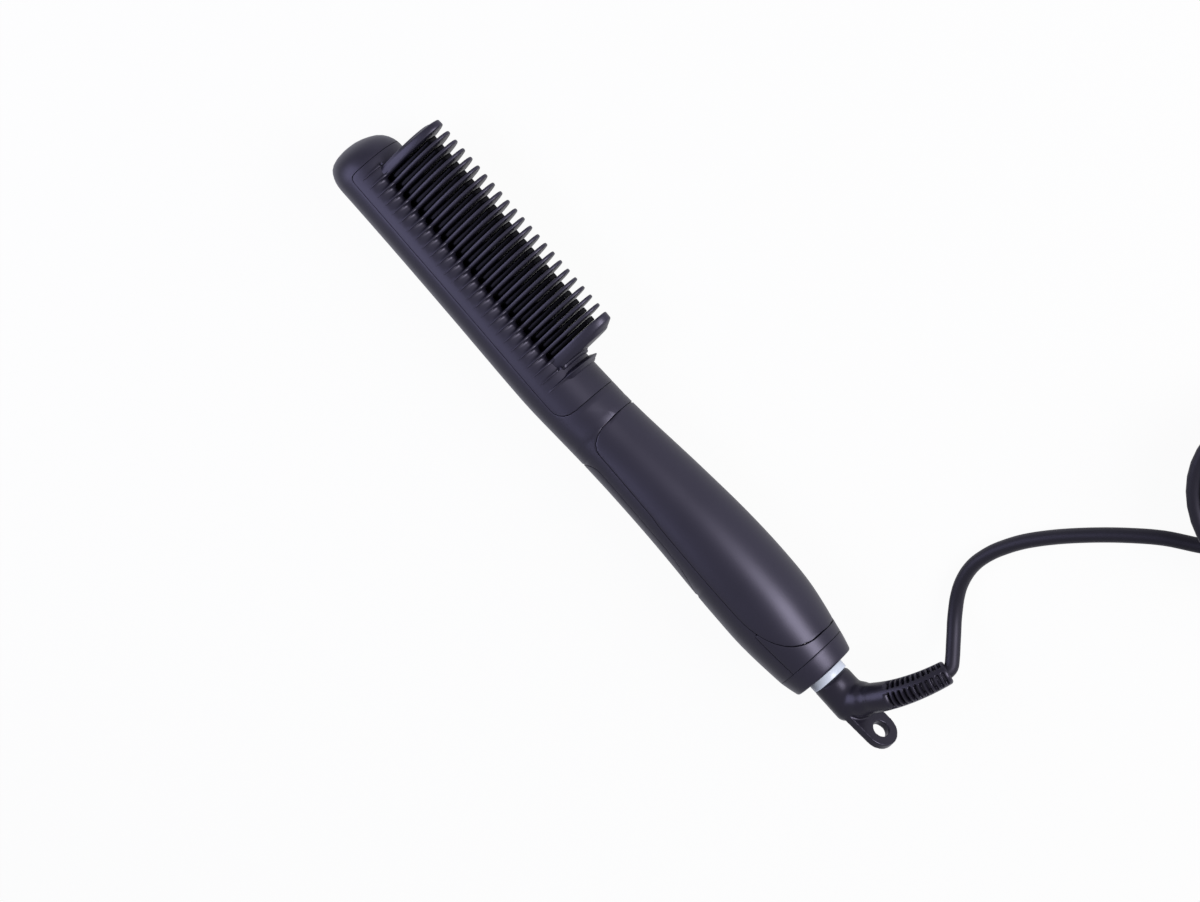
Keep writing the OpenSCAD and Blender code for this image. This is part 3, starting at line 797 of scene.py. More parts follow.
@dataclass(frozen=True)
class Inlay:
    """Plan of one inlaid panel: its two ends and the round corner at each.

    Attributes:
        ends: Places of the panel's ends.
        corners: Reach of each corner, negative towards smaller places, and its height.
        steps: Number of steps round each corner.
    """

    ends: Key
    corners: tuple[Key, Key]
    steps: tuple[int, int] = (5, 5)

    def grown(self, grow: float) -> Key:
        """The two ends with the outline grown outwards."""
        return self.ends[0] - grow, self.ends[1] + grow

    def drawn_in(self, x: float, grow: float) -> float:
        """How far the corners draw the panel's edge in.

        Args:
            x: Place along the panel.
            grow: How far the outline is grown outwards, in millimetres.

        Returns:
            The distance in millimetres, 0 between the corners.
        """
        total = 0.0
        for end, (reach, height) in zip(self.grown(grow), self.corners):
            t = min(1.0, max(0.0, 1 - (x - end) / reach))
            total += height * (1 - math.sqrt(1 - t * t))
        return total

    def marks(self, ends: Sequence[float]) -> list[float]:
        """Places that draw both corners when the panel's ends are at these places."""
        corners = zip(ends, self.corners, self.steps)
        return [m for end, corner, steps in corners for m in corner_marks(end, corner[0], steps)]


@dataclass
class Housing:
    """Round body of the wand with its inlaid panels.

    Every panel is a patch of one smooth skin. A column line of the skin is the ring at one
    place along the wand, and its row lines run from the front, where the teeth point, to the
    back. One row line follows the panels' parting line and another the control panel's edge.
    """

    nose: float = 13.0
    end: float = 260.0
    wall: float = 2.0
    seam: float = 0.25
    rim: float = 0.16
    front_rows: int = 16
    side_rows: int = 18
    back_rows: int = 16
    step: float = 3.2
    radius_keys: tuple[Key, ...] = (
        (13, 14.3), (75, 14.5), (115, 15), (148, 15), (178, 16.2), (208, 17.65), (224, 18),
        (240, 17.6), (260, 14.95), (264, 14.05),
    )
    centre_keys: tuple[Key, ...] = (
        (0, -3), (5, -0.7), (13, 0.5), (115, -1.4), (137, -0.8), (150, -0.1), (164, 0.8),
        (180, 1.6), (200, 2.1), (224, 1.8), (240, 1.2), (250, 0.6), (260, 0), (264, 0),
    )
    comb: Inlay = Inlay((-54.9, 66.5), ((2.5, 2.5), (-6.5, 8.0)))
    handle: Inlay = Inlay((143.6, 255.4), ((7.5, 12.0), (-26.0, 15.0)), (5, 9))
    panel: Inlay = Inlay((149.0, 215.0), ((7.0, 10.0), (-22.0, 11.0)), (5, 8))
    handle_low: Key = (1.4, 0.8)
    handle_drop: Key = (181.0, 187.0)
    bridge_blend: tuple[float, float, float] = (239.4, 239.8, 240.2)
    panel_high: float = -4.5
    panel_fade: float = 20.0
    opening: Key = (48.35, 9.2)
    face_wall: float = 1.6
    rib_pitch: float = 4.25
    ribs_each_way: int = 11
    valleys: tuple[tuple[float, float, float], ...] = ((1.1, 8.5, 1.2), (2.3, 2.8, 2.0))

    def radius(self, x: float) -> float:
        """Radius of the body: a rounded nose, then the keys.

        Args:
            x: Place along the wand.

        Returns:
            The radius in millimetres.
        """
        if x >= self.nose:
            return smooth(self.radius_keys, x)
        bluntness = 2.4
        share = max(0.0, 1 - max(0.0, 1 - x / self.nose) ** bluntness)
        return self.radius_keys[0][1] * share ** (1 / bluntness)

    def centre(self, x: float) -> float:
        """Sideways place of the body's centre at x."""
        return smooth(self.centre_keys, max(0.0, x))

    def slant(self, s: float) -> float:
        """How much the column line at s leans with the head: 1 on the head, 0 on the handle."""
        tip, neck, fade = 2.0, 134.0, 6.0
        return smooth_step((s - tip) / fade) * (1 - smooth_step((s - neck) / fade))

    def point(self, s: float, angle: float) -> Vector:
        """Point of the skin.

        Args:
            s: Place of the column line along the wand, in millimetres.
            angle: Angle from the front, in radians, positive on the side that faces up.

        Returns:
            The point in the wand's frame.
        """
        x, lean = s, self.slant(s) * math.tan(HEAD_PITCH)
        for _ in range(3):
            y = self.centre(x) + self.radius(x) * math.cos(angle)
            x = max(0.0, s + lean * (y - HEAD.y))
        return Vector((x, y, self.radius(x) * math.sin(angle)))

    def angle_of(self, x: float, y: float) -> float:
        """Angle from the front of the skin's point at x and y."""
        return math.acos(max(-1.0, min(1.0, (y - self.centre(x)) / self.radius(x))))

    def comb_column(self, along: float) -> float:
        """Column line of the skin for a place along the head's own frame."""
        return HEAD.x + along / math.cos(HEAD_PITCH)

    def comb_edge(self, along: float, grow: float) -> float:
        """Height of the comb cover's edge in the head's frame, the outline grown outwards."""
        return self.comb.drawn_in(along, grow) - grow

    def handle_edge(self, x: float, grow: float) -> float:
        """Height of the handle cover's edge.

        Args:
            x: Place along the wand.
            grow: How far the outline is grown outwards, in millimetres.

        Returns:
            The height, a little lower beyond the drop.
        """
        (first, last), (high, low) = self.handle_drop, self.handle_low
        straight = high + (low - high) * smooth_step((x - first) / (last - first))
        return straight + self.handle.drawn_in(x, grow) - grow

    def bridge_edge(self, x: float, grow: float) -> float:
        """Height of the tail bridge's lower edge, which falls to the end cap."""
        high, start, reach = 0.6, 236.0, 25.0
        return high * (1 - (x - start) / reach) - grow

    def panel_edge(self, x: float, grow: float) -> float:
        """Height of the control panel's edge, the outline grown outwards."""
        return self.panel_high + grow - self.panel.drawn_in(x, grow)

    def comb_parting(self, s: float, grow: float) -> float:
        """Follows the comb cover's edge round the head.

        Args:
            s: Place of the column line.
            grow: How far the outline is grown outwards, in millimetres.

        Returns:
            Angle of the edge, in radians from the front.
        """
        along = (s - HEAD.x) * math.cos(HEAD_PITCH)
        corner = on_head((along, self.comb_edge(along, grow), 0.0))
        return self.angle_of(corner.x, corner.y)

    def parting(self, s: float) -> float:
        """Line between the back shell and the front panels.

        Args:
            s: Place of the column line.

        Returns:
            Angle of the back shell's front edge, in radians from the front.
        """
        g = self.seam
        first, last = (self.comb_column(end) for end in self.comb.grown(g))
        start = self.handle.grown(g)[0]
        if s < first:
            t = smooth_step((first - s) / first)
            return self.comb_parting(first, g) * (1 - t) + math.pi / 2 * t
        if s <= last:
            return self.comb_parting(s, g)
        if s < start:
            a, b = self.comb_parting(last, g), self.angle_of(start, self.handle_edge(start, g))
            return a + (b - a) * smooth_step((s - last) / (start - last))
        cover_ends, bridge_starts, settled = self.bridge_blend
        low = self.handle_edge(min(s, bridge_starts), g)
        share = smooth_step((s - cover_ends) / (settled - cover_ends))
        return self.angle_of(s, low * (1 - share) + self.bridge_edge(s, g) * share)

    def panel_parting(self, s: float) -> float:
        """Line round the control panel, which fades into the skin beyond the panel's ends.

        Args:
            s: Place of the column line.

        Returns:
            Angle of the back shell's edge, in radians from the front.
        """
        left, right = self.panel.grown(self.seam)
        near = min(max(s, left), right)
        edge = self.angle_of(near, self.panel_edge(near, self.seam))
        return edge + (math.radians(160) - edge) * smooth_step(abs(s - near) / self.panel_fade)

    def axis(self, point: Vector) -> Vector:
        """Point of the body's inner axis beside a point of the shared frame."""
        x = point.x / MM + ORIGIN.x
        return at((max(x, 6.0), self.centre(x), 0.0))

    def walled(self, skin: Piece, thick: float, even: bool = True) -> Piece:
        """Gives a skin its wall.

        Args:
            skin: The open skin.
            thick: Thickness of the wall, inwards from the skin, in millimetres.
            even: True to hold the thickness at sharp bends as well.

        Returns:
            The same piece.
        """
        face_out(skin, self.axis)
        return modify(skin, "SOLIDIFY", thickness=thick * MM, offset=-1.0, use_even_offset=even)

    def shell_of(self, skin: Piece) -> Piece:
        """Gives a skin its wall and rounds its rims."""
        return soften(self.walled(skin, self.wall), self.rim)

    def patch(
        self,
        name: str,
        places: Sequence[float],
        rows: int,
        edge: Callable[[float, float], float],
        from_back: bool = False,
    ) -> Piece:
        """Moulds one panel over the body, the same on both sides.

        Args:
            name: Name of the new object.
            places: Places of the column lines.
            rows: Number of rows on one side.
            edge: Height of the panel's edge at a place, for an outline grown outwards.
            from_back: True for a panel whose middle line is at the back.

        Returns:
            The panel's skin.
        """

        def place(i: int, j: int) -> Vector:
            """Point of the skin where two lines of the grid cross."""
            s, share = places[i], (j - rows) / rows
            limit = self.angle_of(s, edge(s, 0.0))
            if from_back:
                return self.point(s, math.pi - (math.pi - limit) * share)
            return self.point(s, limit * share)

        return moulded_grid(name, len(places) - 1, 2 * rows, place)

    def make_back_shell(self) -> Piece:
        """Makes the back half with its whole rings at the nose and the neck.

        Returns:
            The back shell with its two bosses.
        """
        g = self.seam
        comb = [self.comb_column(end) for end in self.comb.grown(g)]
        handle, panel = self.handle.grown(g)[0], self.panel.grown(g)
        nose = [self.nose * (1 - math.cos(math.radians(a))) for a in range(0, 90, 9)]
        marks = [m for m in nose if m < comb[0] - 0.5] + self.comb.marks(comb)
        marks += self.handle.marks([handle]) + self.panel.marks(panel)
        marks += [229.0, 234.0, 237.0, *self.bridge_blend, self.end]
        places = columns_through(marks, self.step)
        a, b = self.front_rows, self.front_rows + self.side_rows
        rows = b + self.back_rows

        def place(i: int, j: int) -> Vector:
            """Point of the whole body where two lines of the grid cross."""
            s, k = places[i], abs(j - rows)
            front, back = self.parting(s), self.panel_parting(s)
            if k <= a:
                angle = front * k / a
            elif k <= b:
                angle = front + (back - front) * (k - a) / self.side_rows
            else:
                angle = back + (math.pi - back) * (k - b) / self.back_rows
            return self.point(s, math.copysign(angle, j - rows))

        def open_at(i: int, j: int) -> bool:
            """True inside the comb cover, the handle's front or the control panel."""
            middle, k = (places[i] + places[i + 1]) / 2, abs(j + 0.5 - rows)
            in_front = comb[0] < middle < comb[1] or middle > handle
            return (k < a and in_front) or (k > b and panel[0] < middle < panel[1])

        skin = moulded_grid("back_shell", len(places) - 1, 2 * rows, place, open_at)
        pieces = [self.shell_of(skin)]
        for x in (-49.7, 49.7):
            pieces.append(peg("boss", on_head((x, -13.0, 0.0)), on_head((x, 4.0, 0.0)), 2.0, 24))
        return join("back_shell", pieces)

    def make_comb_face(self) -> Piece:
        """Makes the comb cover's flush face with the long opening for the heated comb.

        Returns:
            The face with its wall.
        """
        fine = 10
        reach = fine * self.ribs_each_way
        ribs = [self.rib_pitch * k / fine for k in range(-reach, reach + 1)]
        half_slot, slot_depth = self.opening
        marks = [*self.comb.marks(self.comb.ends), -half_slot, half_slot, *ribs]
        slot = [self.comb_column(a) for a in (-half_slot, half_slot)]
        places = columns_through([self.comb_column(a) for a in marks], 2.4)
        rows, free = 34, 11

        def place(i: int, j: int) -> Vector:
            """Point of the cover, with one row line along the opening's edge."""
            s, k = places[i], abs(j - rows)
            inner, outer = math.asin(slot_depth / self.radius(s)), self.comb_parting(s, 0.0)
            if outer < inner + 0.2:
                inner = outer * 0.6
            if k <= free:
                angle = inner * k / free
            else:
                angle = inner + (outer - inner) * (k - free) / (rows - free)
            point = self.point(s, math.copysign(angle, j - rows))
            inwards = Vector((0.0, self.centre(s) - point.y, -point.z)).normalized()
            away = max(0.0, angle - inner) * self.radius(s)
            return point + inwards * self.valley(s, away)

        def open_at(i: int, j: int) -> bool:
            """True inside the long opening."""
            middle = (places[i] + places[i + 1]) / 2
            return slot[0] < middle < slot[1] and abs(j + 0.5 - rows) < free

        skin = moulded_grid("comb_face", len(places) - 1, 2 * rows, place, open_at)
        return shade(self.walled(skin, self.face_wall, even=False), 40)

    def valley(self, s: float, away: float) -> float:
        """Depth of the comb face's valley between two ribs.

        Args:
            s: Column line.
            away: Distance from the opening's edge round the head, in millimetres.

        Returns:
            The depth in millimetres, 0 on a rib and beyond the valley's end.
        """
        along = (s - HEAD.x) * math.cos(HEAD_PITCH)
        if abs(along) > self.ribs_each_way * self.rib_pitch:
            return 0.0
        off = abs(along - self.rib_pitch * round(along / self.rib_pitch))
        deep = sum(d * max(0.0, 1 - away / reach) ** power for d, reach, power in self.valleys)
        rib_side, slope = 0.4, 0.7
        return deep * smooth_step((off - rib_side) / slope)

    def make_handle_cover(self) -> Piece:
        """Makes the inlaid front half of the handle with its two screw bosses.

        Returns:
            The cover.
        """
        end, reach = self.handle.ends[1], self.handle.corners[1][0]
        extra = end + reach * (1 - math.cos(math.radians(11)))
        marks = [*self.handle.marks(self.handle.ends), extra, *self.handle_drop]
        places = columns_through(marks, self.step)
        pieces = [self.shell_of(self.patch("handle_front_cover", places, 24, self.handle_edge))]
        for x in (156.0, 216.0):
            top = self.centre(x) + self.radius(x) - self.wall + 0.4
            boss = peg("boss", (x, -5.0, 0.0), (x, top, 0.0), 3.0)
            cut(boss, peg("bore", (x, -6.0, 0.0), (x, 3.0, 0.0), 1.3))
            pieces.append(soften(boss, 0.2))
        return join("handle_front_cover", pieces)

    def make_bridge(self) -> Piece:
        """Makes the short piece between the handle's front cover and the end cap.

        Returns:
            The bridge.
        """
        g, columns, rows = self.seam, 12, 22
        reach, height = self.handle.corners[1]

        def start(y: float) -> float:
            """Place where the bridge begins beside the cover's curved end, at height y."""
            t = max(0.0, min(1.0, 1 - (y - (self.handle_low[1] - g)) / height))
            return self.handle.ends[1] + g + reach * (1 - math.sqrt(1 - t**2))

        def place(i: int, j: int) -> Vector:
            """Point of the bridge, whose first column line follows the cover's end."""
            share, x = abs(j - rows) / rows, self.end
            for _ in range(12):
                edge = self.angle_of(x, self.bridge_edge(x, 0.0))
                y = self.centre(x) + self.radius(x) * math.cos(edge * share)
                first = max(self.bridge_blend[1], start(y))
                x = first + (self.end - first) * i / columns
            side = -1 if j < rows else 1
            return Vector((x, y, side * self.radius(x) * math.sin(edge * share)))

        return self.shell_of(moulded_grid("tail_bridge", columns, 2 * rows, place))

    def make_end_cap(self) -> Piece:
        """Turns the cap that closes the tail round the swivel's bush.

        Returns:
            The cap.
        """
        cap, long, taper, swell = self.radius(self.end), 7.2, 1.45, 0.35
        profile = [
            (257, 7.55), (257, 9.5), (262, 9.5), (262, 11.6), (257, 11.6), (257, 12.3),
            (260.1, 12.3), (260.1, cap),
        ]
        for t in (0.2, 0.4, 0.6, 0.8, 1.0):
            profile.append((self.end + long * t, cap - taper * t - swell * t * t))
        profile += [(267.7, 12.7), (267.8, 5.0), (265.6, 5.0), (265.6, 7.55)]
        return soften(turned("end_cap", profile, 128), 0.18, angle=25)

    def build(self, palette: Palette) -> list[Piece]:
        """Makes the panels and hands them over, apart from the comb's face.

        Args:
            palette: The materials.

        Returns:
            The back shell, the handle's cover, the bridge and the end cap.
        """
        made = {
            "back_shell": self.make_back_shell(),
            "handle_front_cover": self.make_handle_cover(),
            "tail_bridge": self.make_bridge(),
            "end_cap": self.make_end_cap(),
        }
        return [palette.hand_over(made[node], "shell_plastic", Body.WAND, node) for node in made]


# Comb


@dataclass
class Comb:
    """Guard teeth with their ribs, the end guards, the collar and the heated comb between."""

    housing: Housing
    thick: float = 1.3
    top: float = 37.5
    half_w: float = 10.0
    round_y: float = 13.5
    foot_y: float = 9.4
    hot_thick: float = 1.9
    hot_top: float = 30.8
    proud: float = 1.2
    rib_point: float = 0.26
    rib_root: float = 1.5

    def place_of(self, k: float) -> float:
        """Place of guard k along the head, counted from the middle guard."""
        return k * self.housing.rib_pitch

    def fin(self, name: str, outline: Sequence[Key], thick: float) -> Piece:
        """Makes a flat fin across the middle of the head.

        Args:
            name: Name of the new object.
            outline: Corners of the fin as height and sideways place.
            thick: Thickness in millimetres.

        Returns:
            The closed fin.
        """
        corners = [on_head((-thick / 2, y, z)) for y, z in outline]
        return plate(name, corners, along_head(thick))

    def row_of(self, model: Piece, places: Iterable[float]) -> list[Piece]:
        """Copies a fin to places counted in guards, and throws the model away.

        Args:
            model: The fin at the middle of the head.
            places: Numbers of the places, from the middle guard.

        Returns:
            The copies.
        """
        copies = [copy_of(model, along_head(1) * self.place_of(k) * MM) for k in places]
        bpy.data.objects.remove(model)
        return copies

    def arch(self, inset: float, height: float, half_w: float, steps: int = 56) -> list[Key]:
        """Outline of a tooth: half an ellipse on straight sides.

        Args:
            inset: How far the outline is drawn in, in millimetres.
            height: Height of the ellipse above its foot.
            half_w: Half of the tooth's width.
            steps: Number of steps round the ellipse.

        Returns:
            The outline as height and sideways place.
        """
        tall, wide = height - inset, half_w - inset
        crown = [(self.round_y + tall * c, wide * s) for c, s in arc((0, 0), 1, -90, 90, steps)]
        return [(self.foot_y, -wide), *crown, (self.foot_y, wide)]

    def make_guard(self) -> Piece:
        """Makes one guard tooth at the middle of the head."""
        outline = self.arch(0.0, self.top - self.round_y, self.half_w)
        return soften(self.fin("guard", outline, self.thick), 0.42, 4, 50)

    def rib_crest(self, side: int, radius: float, top: Key) -> list[tuple[Vector, Vector]]:
        """Draws the crest line of a rib, from its top to its foot.

        Args:
            side: 1 for the side that faces up and -1 for the other.
            radius: Radius of the head there.
            top: Height and sideways place of the rib's top.

        Returns:
            The points of the line and the outward direction at each.
        """
        start = [(top[0], side * (top[1] - 0.35)), (top[0] - 1.0, side * (top[1] - 0.05))]
        crest = [Vector((0.0, y, z)) for y, z in start]
        for k, share in enumerate((1.0, 0.98, 0.93, 0.84, 0.7, 0.5, 0.26, 0.0)):
            r, t = radius + self.proud * share, math.radians(42 + 5 * k)
            crest.append(Vector((0.0, r * math.cos(t), side * r * math.sin(t))))
        path = smooth_path(crest, 3)
        result = []
        for k, point in enumerate(path):
            along = path[min(k + 1, len(path) - 1)] - path[max(k - 1, 0)]
            out = Vector((0.0, -along.z, along.y)).normalized()
            result.append((point, -out if out.z * side < 0 else out))
        return result

    def make_rib(self, x: float, side: int, thick: float, top: Key) -> Piece:
        """Makes one rib down the side of the head.

        Args:
            x: Place along the head's frame.
            side: 1 for the side that faces up and -1 for the other.
            thick: Thickness at the rib's top.
            top: Height and sideways place of its top.

        Returns:
            The closed rib.
        """
        crest = self.rib_crest(side, self.housing.radius(HEAD.x + x), top)
        rounding = [(0.24, 0.0), (0.42, -0.1), (0.5, -0.28)]
        round_top = [(-w, d) for w, d in reversed(rounding)] + rounding
        rings = []
        for k, (point, out) in enumerate(crest):
            t = k / (len(crest) - 1)
            width = thick + (self.rib_point - thick) * smooth_step((t - 0.18) / 0.82)
            section = [(w, 1.6 * width * d) for w, d in round_top]
            section = [(-0.5, -self.rib_root), *section, (0.5, -self.rib_root)]
            rings.append(
                [on_head(point + out * d + Vector((x + w * width, 0, 0))) for w, d in section]
            )
        return soften(loft("rib", rings), 0.05, 1, 50)

    def make_end_guard(self, side: int) -> Piece:
        """Makes the thick guard that closes one end of the comb.

        Args:
            side: -1 at the tip and 1 at the handle.

        Returns:
            The closed guard, at the handle with a low step behind it.
        """
        x, half, w = side * self.place_of(self.housing.ribs_each_way), self.thick / 2, self.half_w
        deep, drop = (3.3, 5.0) if side < 0 else (4.4, 4.5)
        h = self.top - self.round_y
        # Each station is a distance from the guard's middle, an inset, a height and a half width
        guard = [
            (-half, 0.42, h, w),
            (-half + 0.13, 0.13, h, w),
            (-half + 0.42, 0.0, h, w),
            (half - 0.3, 0.0, h, w),
            (0.5 * deep, 0.08, h, w),
            (0.5 * deep + 0.35, 0.1, h - 0.3, w - 0.03),
            (0.75 * deep, 0.1, h - 0.5 * drop + 0.1, w - 0.15),
            (deep - 0.5, 0.1, h - drop + 0.75, w - 0.3),
            (deep - 0.18, 0.18, h - drop + 0.3, w - 0.3),
            (deep, 0.5, h - drop, w - 0.3),
        ]
        steps = ((-1.2, 0.5, 3.1), (0.2, 0.5, 3.0), (0.8, 0.6, 2.6), (1.2, 1.0, 2.0))
        low = [(deep + past, inset, height, w - 0.6) for past, inset, height in steps]
        pieces = []
        for stations in [guard, low] if side > 0 else [guard]:
            rings = [
                [on_head((x + side * dx, y, z)) for y, z in self.arch(inset, height, half_w, 40)]
                for dx, inset, height, half_w in stations
            ]
            pieces.append(loft("end_guard", rings, 40))
        return join("end_guard", pieces)

    def make_collar(self) -> Piece:
        """Makes the raised collar across the front of the head, behind the comb.

        Returns:
            The closed collar.
        """
        place = 55.0
        radius = self.housing.radius(HEAD.x + place)
        profile = [
            (-2.2, -1.4), (-1.5, 0.0), (-1.25, 0.3), (-0.75, 0.62), (-0.42, 0.9), (-0.2, 0.985),
            (0.0, 1.0), (0.2, 0.95), (0.45, 0.78), (0.75, 0.58), (1.15, 0.45), (1.5, 0.3),
            (1.8, 0.0), (2.2, -1.4),
        ]
        full, low, shoulder, knee, reach = 3.2, 1.0, 30, 42, 76
        rings = []
        for angle in range(-reach, reach + 1, 2):
            away = abs(angle)
            proud = low * (reach - away) / (reach - knee)
            if away < knee:
                proud = full + (low - full) * smooth_step((away - shoulder) / (knee - shoulder))
            width, t = 0.3 + 0.22 * proud, math.radians(angle)
            ring = []
            for w, d in profile:
                r = radius + (d * proud if d > 0 else d)
                ring.append(on_head((place + w * width, r * math.cos(t), r * math.sin(t))))
            rings.append(ring)
        return loft("collar", rings, 50)

    def make_cover(self) -> Piece:
        """Makes the comb cover: its face, guard teeth, ribs, end guards and collar.

        Returns:
            The cover.
        """
        last = self.housing.ribs_each_way
        pieces = [self.housing.make_comb_face()]
        pieces += self.row_of(self.make_guard(), range(1 - last, last))
        rib_top, stub_top = (self.round_y + 1.6, self.half_w - 0.1), (11.3, 9.7)
        for side in (-1, 1):
            for k in range(-last, last + 1):
                pieces.append(self.make_rib(self.place_of(k), side, self.thick - 0.1, rib_top))
            for end in (-1, 1):
                stub = end * (self.place_of(last) + 4.1)
                pieces.append(self.make_rib(stub, side, 0.9, stub_top))
        pieces += [self.make_end_guard(-1), self.make_end_guard(1), self.make_collar()]
        return join("comb_cover", pieces)

    def make_heated_comb(self) -> Piece:
        """Makes the glossy heated comb that stands between the guards.

        Returns:
            The comb with its base.
        """
        foot, round_r, flat = [(8.0, -6.9), (12.0, -6.9)], 1.3, 1.7
        tip = self.hot_top - round_r
        outline = foot + arc((tip, -flat), round_r, -80, 0, 6) + arc((tip, flat), round_r, 0, 80, 6)
        outline += [(y, -z) for y, z in reversed(foot)]
        tooth = soften(self.fin("hot_tooth", outline, self.hot_thick), 0.3, 3, 50)
        last = self.housing.ribs_each_way
        teeth = self.row_of(tooth, (k + 0.5 for k in range(-last, last)))
        corners = ((-46, 4.5), (46, 4.5), (46, 8.8), (-46, 8.8))
        base = plate("hot_base", [on_head((x, y, -8.2)) for x, y in corners], Vector((0, 0, 16.4)))
        for x in (-42, 42):
            cut(base, peg("bore", on_head((x, 3.8, 0)), on_head((x, 8.1, 0)), 1.3))
        return join("heater_comb", [soften(base, 0.4, 3), *teeth])

    def build(self, palette: Palette) -> list[Piece]:
        """Makes the comb's pieces and hands them over.

        Args:
            palette: The materials.

        Returns:
            The cover and the heated comb.
        """
        return [
            palette.hand_over(self.make_cover(), "shell_plastic", Body.WAND, "comb_cover"),
            palette.hand_over(self.make_heated_comb(), "hot_coating", Body.WAND, "heater_comb"),
        ]


# Controls


@dataclass
class Controls:
    """Control panel in the handle's back, with its plate, window and three buttons."""

    housing: Housing
    face_y: float = -13.6
    pad_y: float = -11.8
    plate_x: Key = (156.5, 209.0)
    recess_x: Key = (155.0, 211.0)
    window_x: Key = (158.0, 178.0)
    play: float = 0.1
    through: float = 12.0
    recess_half: float = 5.8
    plate_half: float = 4.8
    window_half: float = 4.0
    button_d: float = 7.0
    buttons: dict[Body, float] = field(
        default_factory=lambda: {Body.COOLER: 185.0, Body.WARMER: 194.0, Body.POWER: 203.0}
    )

    def slab(
        self, name: str, y: float, half_w: float, span: Key, depth: float, r: float = 3.0
    ) -> Piece:
        """Makes a slab with round corners.

        Args:
            name: Name of the new object.
            y: Place of the slab's inner face.
            half_w: Half of its width.
            span: Its two ends along the wand.
            depth: How far it reaches outwards.
            r: Radius of its corners.

        Returns:
            The closed slab.
        """
        outline = [(x, y, z) for x, z in round_box(span, (-half_w, half_w), r)]
        return plate(name, outline, Vector((0, -depth, 0)))

    def make_panel(self) -> Piece:
        """Makes the panel with its flat recess and the opening for the button plate.

        Returns:
            The panel.
        """
        body = self.housing
        places = columns_through(body.panel.marks(body.panel.ends), 2.4)
        skin = body.patch("control_panel", places, 20, body.panel_edge, from_back=True)
        piece = body.walled(skin, body.wall)
        cut(piece, self.slab("recess", self.face_y, self.recess_half, self.recess_x, self.through))
        x0, x1 = self.plate_x
        span = x0 - self.play, x1 + self.play
        half_w = self.plate_half + self.play
        cut(piece, self.slab("window", self.pad_y + 3, half_w, span, self.through))
        return soften(piece, 0.14)

    def make_plate(self) -> Piece:
        """Makes the glossy plate with its window opening and three button holes.

        Returns:
            The plate.
        """
        depth = self.pad_y - self.face_y
        piece = self.slab("button_plate", self.pad_y, self.plate_half, self.plate_x, depth)
        x0, x1 = self.window_x
        span = x0 - self.play, x1 + self.play
        half_w = self.window_half + self.play
        cut(piece, self.slab("window", self.pad_y + 1, half_w, span, self.through, 1.1))
        for x in self.buttons.values():
            cut(piece, peg("hole", (x, -9, 0), (x, -17, 0), self.button_d / 2 + 0.12, 64))
        return soften(piece, 0.12)

    def make_button(self, x: float, name: str) -> Piece:
        """Turns one push button with a dished top, a flange and a stem.

        Args:
            x: Place of the button along the wand.
            name: Name of the new object.

        Returns:
            The button.
        """
        r, out = self.button_d / 2, self.face_y - 0.8
        profile = [
            (0.0, -10.2), (1.5, -10.2), (1.5, -10.75), (r + 0.8, -10.75), (r + 0.8, -11.4),
            (r, -11.4), (r, out + 0.4), (r - 0.12, out + 0.14), (r - 0.4, out), (r - 0.9, out + 0.02),
            (r * 0.5, out + 0.16), (0.0, out + 0.22),
        ]
        return shade(turned(name, [(x + away, y) for away, y in profile], 64, x, (0, 1, 0)), 40)

    def make_mark(self, body: Body, x: float) -> Piece:
        """Makes the mark in a button's dish: a minus, a plus or the sign for power.

        Args:
            body: Body of the button.
            x: Place of the button along the wand.

        Returns:
            The mark.
        """
        foot, rise = self.face_y - 0.5, Vector((0, -0.22, 0))

        def bar(start: float, end: float, half_z: float) -> Piece:
            """Makes a bar along the wand between two places beside the button's middle."""
            corners = ((end, half_z), (start, half_z), (start, -half_z), (end, -half_z))
            return plate("bar", [(x + dx, foot, z) for dx, z in corners], rise)

        if body is Body.POWER:
            ring = arc((x, 0), 1.55, -140, 140, 28) + arc((x, 0), 1.15, 140, -140, 28)
            sign = plate("arc", [(u, foot, z) for u, z in ring], rise)
            return join("mark", [sign, bar(-1.8, -0.5, 0.2)])
        mark = bar(-1.3, 1.3, 0.22)
        if body is Body.WARMER:
            fuse(mark, bar(-0.22, 0.22, 1.3))
        return mark

    def build(self, palette: Palette) -> list[Piece]:
        """Makes the controls and hands them over.

        Args:
            palette: The materials.

        Returns:
            The finished pieces.
        """
        wand, inner = Body.WAND, self.pad_y - 0.2
        depth, half_w = inner - self.face_y, self.window_half
        window = self.slab("display_window", inner, half_w, self.window_x, depth, 1.0)
        soften(window, 0.15)
        made = [
            palette.hand_over(self.make_panel(), "shell_plastic", wand, "control_panel"),
            palette.hand_over(self.make_plate(), "gloss_panel", wand, "button_plate"),
            palette.hand_over(window, "gloss_panel", wand, "display_window"),
        ]
        for body, x in self.buttons.items():
            button = self.make_button(x, body.value)
            made.append(palette.hand_over(button, "button_plastic", body, body.value))
            mark = join(body.value.replace("button", "mark"), [self.make_mark(body, x)])
            made.append(palette.hand_over(mark, "collar_plastic", body))
        return made


# Swivel


